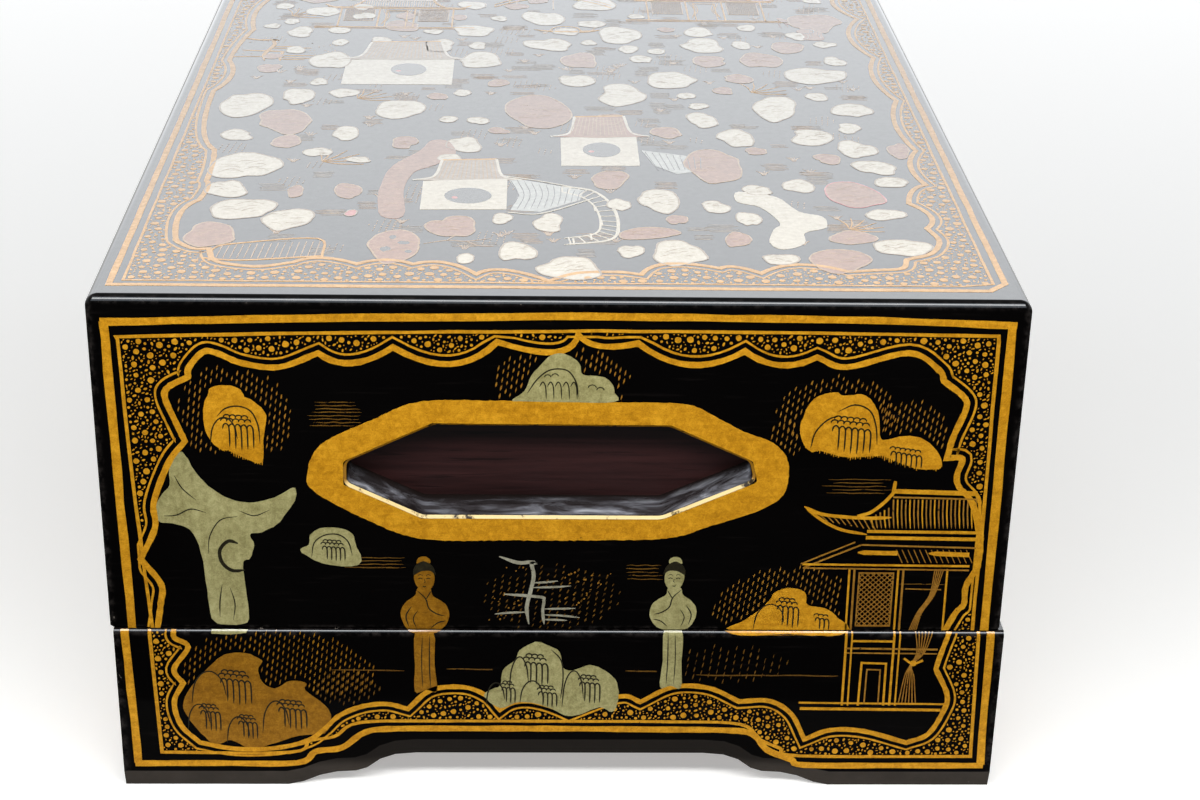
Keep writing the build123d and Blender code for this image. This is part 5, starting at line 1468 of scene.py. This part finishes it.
# ---------------------------------------------------------- panels out of the photograph's view
def panel(sk, x0, y0, x1, y1, nx, ny, seed, c=6.5, t=10.0, corner=15.0, open_foot=False, big=0.76, hole=None):
    """Two lines, a spotted band and a line of swags, round a picture."""
    y_lo = y0
    sk.ribbon("gold", hand_line(rect(x0, y_lo, x1, y1), 0.10, seed, 11, True), 1.9, closed=True, rag=0.10)
    sk.ribbon("gold", hand_line(rect(x0 + 3, y_lo + 3, x1 - 3, y1 - 3), 0.10, seed + 1, 11, True), 0.8, closed=True, rag=0.12)
    sw = swag_frame(x0, y_lo, x1, y1, nx, ny, c, t, corner, seed + 2)
    sk.ribbon("gold", sw, 1.4, closed=True, rag=0.12)
    ow = offset(sw, 2.1, True)
    if abs(area2(ow)) < abs(area2(sw)):
        ow = offset(sw, -2.1, True)
    ow = [(min(max(x, x0 + 3.8), x1 - 3.8), min(max(y, y_lo + 3.8), y1 - 3.8)) for x, y in ow]
    sk.ribbon("gold", ow, 0.5, 0.08, closed=True, rag=0.15)
    speckle(sk, "gold", rect(x0 + 3, y_lo + 3, x1 - 3, y1 - 3, 8), ow, seed + 3, gap=0.5, big=big, per=1.2, tiny=0.6)
    return sw


def foot_panel(sk, L, flat_, seed, nx):
    """The same border on a base board, following its feet and arch. L: half length, flat_: where a foot ends."""
    a = L - 5.4
    low = smooth([(-a, 7.5), (-(a + flat_) / 2, 7.5), (-flat_ - 1.5, 7.5), (-flat_ + 8, 11.6), (-flat_ + 15, 12.4), (-flat_ + 22, 17.6), (-flat_ + 32, 18.4), (0, 18.4), (flat_ - 32, 18.4),
                  (flat_ - 22, 17.6), (flat_ - 15, 12.4), (flat_ - 8, 11.6), (flat_ + 1.5, 7.5), ((a + flat_) / 2, 7.5), (a, 7.5)], 5)
    sk.ribbon("gold", [(-a, 47.9)] + low + [(a, 47.9)], 1.8, rag=0.10)
    low2 = smooth([(-a + 3, 10.6), (-(a + flat_) / 2, 10.6), (-flat_ - 2.5, 10.6), (-flat_ + 6.6, 14.6), (-flat_ + 14, 15.6), (-flat_ + 21, 20.2), (-flat_ + 32, 21.0), (0, 21.0), (flat_ - 32, 21.0),
                   (flat_ - 21, 20.2), (flat_ - 14, 15.6), (flat_ - 6.6, 14.6), (flat_ + 2.5, 10.6), ((a + flat_) / 2, 10.6), (a - 3, 10.6)], 5)
    sec = [(-a + 3, 47.9)] + low2 + [(a - 3, 47.9)]
    sk.ribbon("gold", sec, 0.8, rag=0.12)
    rng = random.Random(seed)
    runs = [[(-a + 8, 48), (-a + 6.8, 42), (-a + 9, 36.5)], [(-a + 5.6, 27), (-a + 8, 20), (-a + 14, 15.8)], [(-(a + flat_) / 2, 14.6), (-flat_ - 3, 16.0)], [(-flat_ + 6, 19.6), (-flat_ + 12, 24.6)]]
    x = -flat_ + 12
    n = nx
    step = (2 * (flat_ - 12)) / n
    for i in range(n):
        e = x + step
        runs.append([(x + step / 2, 27.2 + rng.uniform(-0.4, 0.8)), (e, 24.4 if i < n - 1 else 24.6)])
        x = e
    runs += [[(flat_ - 6, 19.6), (flat_ + 3, 16.0)], [((a + flat_) / 2, 14.6), (a - 14, 15.8)], [(a - 8, 20), (a - 5.6, 27), (a - 9, 36.5)], [(a - 6.8, 42), (a - 8, 48)]]
    sc = cusped(*runs)
    sk.ribbon("gold", sc, 1.3, rag=0.12)
    th = offset(sc, -1.9)
    sk.ribbon("gold", th, 0.5, 0.08, rag=0.15)
    speckle(sk, "gold", sec + th[::-1], None, seed + 3, gap=0.5, big=0.72, per=1.4, tiny=0.7)


# rear end
R = case_rear
sw = panel(R, -110.4, 50.6, 110.4, 135.4, 9, 3, 200)
HR = [(-u, v) for u, v in HOLE]
HR_IN = [(-u, v) for u, v in HOLE_IN]
GR = [(-u, v) for u, v in GILT]
ring(R, "gold", GR, HR_IN, seed=6)
q = mound(R, "gold", -82, 108, 17, 19, 210)
hatch(R, "gold_dim", -82, 108, 14, 13, [q], seed=211, within=sw)
q = mound(R, "gold", 80, 106, 22, 18, 212, 2)
hatch(R, "gold_dim", 80, 106, 16, 12, [q], seed=213, within=sw)
q = mound(R, "green", 2, 118.2, 22, 11, 214, 2)
hall(R, "gold", "gold_dim", -96, -58, 55, 40, 215)
willow(R, "green", "ink", 84, 60, 0.95, -1, 216)
q = mound(R, "green", -32, 64.5, 22, 11, 217, 2)
lady(R, "gold", "ink", 0, 55, 17.5, 1, 218)
lady(R, "green", "ink", 14, 55, 17.0, -1, 219)
q = mound(R, "gold", 48, 63.5, 24, 12, 220, 2)
lines(R, "gold_dim", -50, -42, 71, 4, 1.0, 0.26, 221)
foot_panel(base_rear, 115, 72, 240, 5)
q = mound(base_rear, "gold", -76, 31, 30, 20, 242, 3)
q = mound(base_rear, "green", 4, 36.4, 30, 15, 243, 3)
q = mound(base_rear, "gold", 78, 30, 26, 19, 244, 2)
lines(base_rear, "gold_dim", -52, -20, 37, 2, 1.3, 0.3, 245)
lines(base_rear, "gold_dim", 26, 58, 37, 2, 1.3, 0.3, 246)

# long side away from the drawers
L_ = case_left
sw = panel(L_, -167.5, 50.6, 167.5, 135.4, 14, 3, 260)
hall(L_, "gold", "gold_dim", -152, -92, 58, 56, 261)
hall(L_, "gold", "gold_dim", 52, 100, 60, 48, 262, -1)
willow(L_, "green", "ink", -70, 59, 1.7, 1, 263)
willow(L_, "green", "ink", 138, 59, 1.75, -1, 264)
bridge(L_, "gold", "gold_dim", -18, 36, 60, 17)
for i, (f, x, y, w, h, k) in enumerate((("gold", -46, 63, 26, 14, 2), ("green", -30, 108, 34, 18, 3), ("gold", 6, 112, 24, 15, 2), ("gold", 48, 64, 20, 12, 2), ("green", 112, 62, 26, 12, 3),
                                        ("gold", 104, 115, 34, 15, 3), ("green", -132, 121, 26, 8, 2), ("gold", -76, 117, 20, 11, 2), ("gold", 150, 104, 15, 15, 2))):
    q = mound(L_, f, x, y, w, h, 270 + i, k)
    hatch(L_, "gold_dim", x, y + 1, w * 0.72, h * 0.85, [q], seed=280 + i, within=sw)
lady(L_, "gold", "ink", -4, 78.0, 24, 1, 290)
lady(L_, "green", "ink", 14, 78.0, 23, -1, 291)
lady(L_, "gold", "ink", 78, 62.0, 22, -1, 292)
boat(L_, "gold", "gold_dim", 8, 59.5, 1.1)
pine(L_, "pale", "gold_dim", -112, 114, 0.62, 1, 293)
for i, (a, b, y) in enumerate(((-64, -44, 96), (-22, -2, 94), (30, 52, 96), (60, 84, 118), (-100, -84, 124), (118, 138, 88), (-160, -150, 90))):
    lines(L_, "gold_dim", a, b, y, 5, 1.0, 0.26, 300 + i)
foot_panel(base_left, 172.5, 125, 320, 10)
for i, (f, x, y, w, h, k) in enumerate((("gold", -136, 30, 30, 20, 3), ("green", -58, 35, 32, 13, 3), ("gold", 30, 36, 26, 13, 2), ("green", 92, 35, 28, 13, 2), ("gold", 140, 30, 26, 20, 2))):
    q = mound(base_left, f, x, y, w, h, 330 + i, k)
    lines(base_left, "gold_dim", x + w * 0.6, x + w * 0.6 + 16, 37, 2, 1.3, 0.3, 340 + i)

# drawer side: the frame
C = case_right
C.ribbon("gold", hand_line([(-168.6, 49.2), (-168.6, 135.2), (168.6, 135.2), (168.6, 49.2)], 0.08, 361, 12), 1.5, rag=0.10)
C.ribbon("gold", hand_line([(-162.2, 56.6), (-162.2, 132.6), (162.2, 132.6), (162.2, 56.6)], 0.06, 362, 12), 0.7, rag=0.10)
C.ribbon("gold", hand_line([(-162.2, 56.6), (162.2, 56.6)], 0.06, 363, 12), 0.7, rag=0.10)
C.ribbon("gold", hand_line([(-168.6, 50.2), (168.6, 50.2)], 0.06, 364, 12), 0.9, rag=0.10)
for s in (-1, 1):
    speckle(C, "gold", rect(min(s * 167.6, s * 162.8), 51.4, max(s * 167.6, s * 162.8), 131.8, 6), None, 365 + s, gap=0.4, big=0.72, per=1.2, tiny=0.6)
speckle(C, "gold", rect(-161.4, 51.2, 161.4, 56.0, 12), None, 368, gap=0.4, big=0.66, per=1.0, tiny=0.5)
foot_panel(base_right, 172.5, 125, 380, 10)
for i, (f, x, y, w, h, k) in enumerate((("gold", -140, 30, 28, 20, 2), ("green", -88, 35, 28, 13, 2), ("gold", -22, 36, 30, 13, 3), ("green", 54, 35, 32, 13, 3), ("gold", 136, 30, 30, 20, 3))):
    q = mound(base_right, f, x, y, w, h, 390 + i, k)
    lines(base_right, "gold_dim", x + w * 0.6, x + w * 0.6 + 16, 37, 2, 1.3, 0.3, 400 + i)

# drawer fronts
DRAWERS = (("drawer_low_near", 58.2, -156.1, -2.9), ("drawer_low_far", 58.2, 2.9, 156.1), ("drawer_mid_near", 83.7, -156.1, -2.9),
           ("drawer_mid_far", 83.7, 2.9, 156.1), ("drawer_wide", 109.2, -156.1, 156.1))
for i, (body, z0, y0, y1) in enumerate(DRAWERS):
    S = Skin(body, body + "_face", flat((107, 1, 0), (0, 1, 0), UP, (1, 0, 0)))
    SKINS.append(S)
    h = 21.4
    c = (y0 + y1) / 2
    S.ribbon("gold", hand_line(rect(y0 + 1.7, z0 + 1.7, y1 - 1.7, z0 + h - 1.7), 0.06, 420 + i, 12, True), 0.9, closed=True, rag=0.10)
    S.ribbon("gold", hand_line(rect(y0 + 3.1, z0 + 3.1, y1 - 3.1, z0 + h - 3.1), 0.05, 430 + i, 12, True), 0.4, closed=True, rag=0.10)
    pulls = (-79.5, 79.5) if body == "drawer_wide" else (c,)
    rng = random.Random(440 + i)
    x = y0 + 15
    k = i
    while x < y1 - 12:
        if all(abs(x - p) > 19 for p in pulls):
            m = k % 5
            if m == 0:
                q = mound(S, "gold", x, z0 + 9.4, 18, 9.6, 450 + k, 2)
                hatch(S, "gold_dim", x, z0 + 10.5, 13, 6.4, [q], seed=460 + k, within=rect(y0 + 2, z0 + 2.2, y1 - 2, z0 + h - 2.2))
            elif m == 1:
                q = mound(S, "green", x, z0 + 8.6, 16, 8.0, 470 + k, 2)
                lines(S, "gold_dim", x - 6, x + 9, z0 + 15.4, 2, 1.0, 0.24, 480 + k)
            elif m == 2:
                pine(S, "pale", "gold_dim", x, z0 + 4.4, 0.58, 1 if k % 2 else -1, 490 + k)
            elif m == 3:
                boat(S, "gold", "gold_dim", x, z0 + 6.2, 0.8, 1)
                lines(S, "gold_dim", x - 9, x + 9, z0 + 5.2, 2, 0.9, 0.24, 500 + k)
            else:
                hall(S, "gold", "gold_dim", x - 9, x + 9, z0 + 3.6, 14.6, 510 + k)
            k += 1
        x += 20.5 + rng.uniform(-1, 1)
    for p in pulls:
        # a small flower ground round the pull
        for a in range(12):
            t = 2 * math.pi * a / 12
            S.dot("gold", p + 8.6 * math.cos(t), z0 + 10.7 + 6.9 * math.sin(t), 0.55, sides=8)
        for s in (-1, 1):
            S.ribbon("gold", smooth([(p + s * 11.0, z0 + 10.7), (p + s * 13.0, z0 + 13.2), (p + s * 15.4, z0 + 12.2), (p + s * 14.6, z0 + 10.2), (p + s * 13.2, z0 + 10.8)], 5), 0.5, 0.08, taper=0.2)
            S.ribbon("gold", smooth([(p + s * 11.0, z0 + 10.7), (p + s * 13.0, z0 + 8.2), (p + s * 15.4, z0 + 9.0)], 5), 0.5, 0.08, taper=0.2)

PIECES = [o for s in SKINS for o in s.build()]

# =====================================================================
# stage and light
# =====================================================================
def sheet(name, y0, y1):
    m = bpy.data.meshes.new(name)
    m.from_pydata([(-14, y0, 0), (14, y0, 0), (14, y1, 0), (-14, y1, 0)], [], [(0, 1, 2, 3)])
    o = bpy.data.objects.new(name, m)
    bpy.context.scene.collection.objects.link(o)
    return o


floor, apron_sheet = sheet("studio_floor", -0.215, 22), sheet("studio_floor_front", -9, -0.215)
apron_sheet.visible_glossy = False
apron_sheet.visible_diffuse = False
# painted light: the floor paper glows, dimmest just in front of the case and brighter further back and far out in
# front
t = Tree("glowing_studio_floor_paper")
t.base(t.mix(t.noise(0.9, 2, 0.5), (0.80, 0.80, 0.79), (0.86, 0.86, 0.855)), 0.9, Specular_IOR_Level=0.0)
fy = t.xyz()[1]
floor_glow = t.ramp(t.step(fy, -0.20, 0.85), [(0.0, (0.57, 0.567, 0.560)), (0.25, (0.66, 0.657, 0.650)), (1.0, (1.0, 1.0, 0.998))])
floor_glow = t.mix(t.step(t.math("MULTIPLY", fy, -1.0), 0.45, 2.2), floor_glow, (1.0, 1.0, 0.998))
t.base(Emission_Color=floor_glow, Emission_Strength=0.68)
for o in (floor, apron_sheet):
    o.data.materials.append(t.m)

world = bpy.data.worlds.new("studio")
world.use_nodes = True
bpy.context.scene.world = world
nt = world.node_tree
nt.nodes.clear()


def wn(kind, **props):
    n = nt.nodes.new(kind)
    for k, v in props.items():
        setattr(n, k, v)
    return n


def wmath(op, a, b=0.0, clamp=False):
    n = wn("ShaderNodeMath", operation=op, use_clamp=clamp)
    for s, v in zip(n.inputs, (a, b)):
        if isinstance(v, bpy.types.NodeSocket):
            nt.links.new(v, s)
        else:
            s.default_value = v
    return n.outputs[0]


def wstep(v, lo, hi):
    n = wn("ShaderNodeMapRange", interpolation_type="SMOOTHSTEP")
    nt.links.new(v, n.inputs["Value"])
    n.inputs["From Min"].default_value = lo
    n.inputs["From Max"].default_value = hi
    return n.outputs["Result"]


tc = wn("ShaderNodeTexCoord")
sep = wn("ShaderNodeSeparateXYZ")
nt.links.new(tc.outputs["Generated"], sep.inputs[0])
wx, wy, wz = sep.outputs
back = wmath("MULTIPLY", wstep(wy, -0.05, 0.45), wmath("SUBTRACT", 1.0, wstep(wz, 0.44, 0.62)))
lane = wmath("MULTIPLY", back, wmath("SUBTRACT", 1.0, wstep(wmath("ABSOLUTE", wx), 0.26, 0.62)))
side = wmath("MULTIPLY", wstep(wmath("ABSOLUTE", wx), 0.35, 0.9), wmath("SUBTRACT", 1.0, wstep(wz, 0.45, 0.9)))
glow = wmath("ADD", wmath("MULTIPLY", wstep(wz, 0.24, 0.40), 0.74), 2.18)
level = wmath("ADD", wmath("ADD", wmath("MULTIPLY", lane, glow), wmath("MULTIPLY", back, 0.55)), wmath("ADD", wmath("MULTIPLY", side, 0.35), 0.16))
bg = wn("ShaderNodeBackground")
bg.inputs["Color"].default_value = (0.945, 0.972, 1.0, 1)
nt.links.new(level, bg.inputs["Strength"])
seen = wn("ShaderNodeBackground")
seen.inputs["Color"].default_value = (0.985, 0.985, 0.985, 1)
seen.inputs["Strength"].default_value = 1.0
lp = wn("ShaderNodeLightPath")
mx = wn("ShaderNodeMixShader")
nt.links.new(lp.outputs["Is Camera Ray"], mx.inputs[0])
nt.links.new(bg.outputs[0], mx.inputs[1])
nt.links.new(seen.outputs[0], mx.inputs[2])
out = wn("ShaderNodeOutputWorld")
nt.links.new(mx.outputs[0], out.inputs["Surface"])



def strip(name, place, aim, size, watts, glossy):
    l = bpy.data.lights.new(name, "AREA")
    l.shape, l.size, l.size_y = "RECTANGLE", size[0], size[1]
    l.energy = watts
    l.color = (1.0, 0.995, 0.98)
    o = bpy.data.objects.new(name, l)
    o.location = place
    o.rotation_euler = (Vector(aim) - Vector(place)).to_track_quat("-Z", "Y").to_euler()
    o.visible_glossy = glossy
    bpy.context.scene.collection.objects.link(o)
    return o


strip("front_key", (0.0, -0.385, 0.305), (0.0, -0.1715, 0.12), (0.62, 0.06), 1.75, False)
strip("edge_light", (0.0, -0.47, 0.88), (0.0, -0.17, 0.14), (0.8, 0.20), 6.0, True).visible_diffuse = False

soft = strip("edge_soft", (0.0, -0.52, 0.80), (0.0, -0.17, 0.14), (0.8, 0.62), 5.2, True)
soft.visible_diffuse = False
soft.data.color = (0.80, 0.90, 1.0)
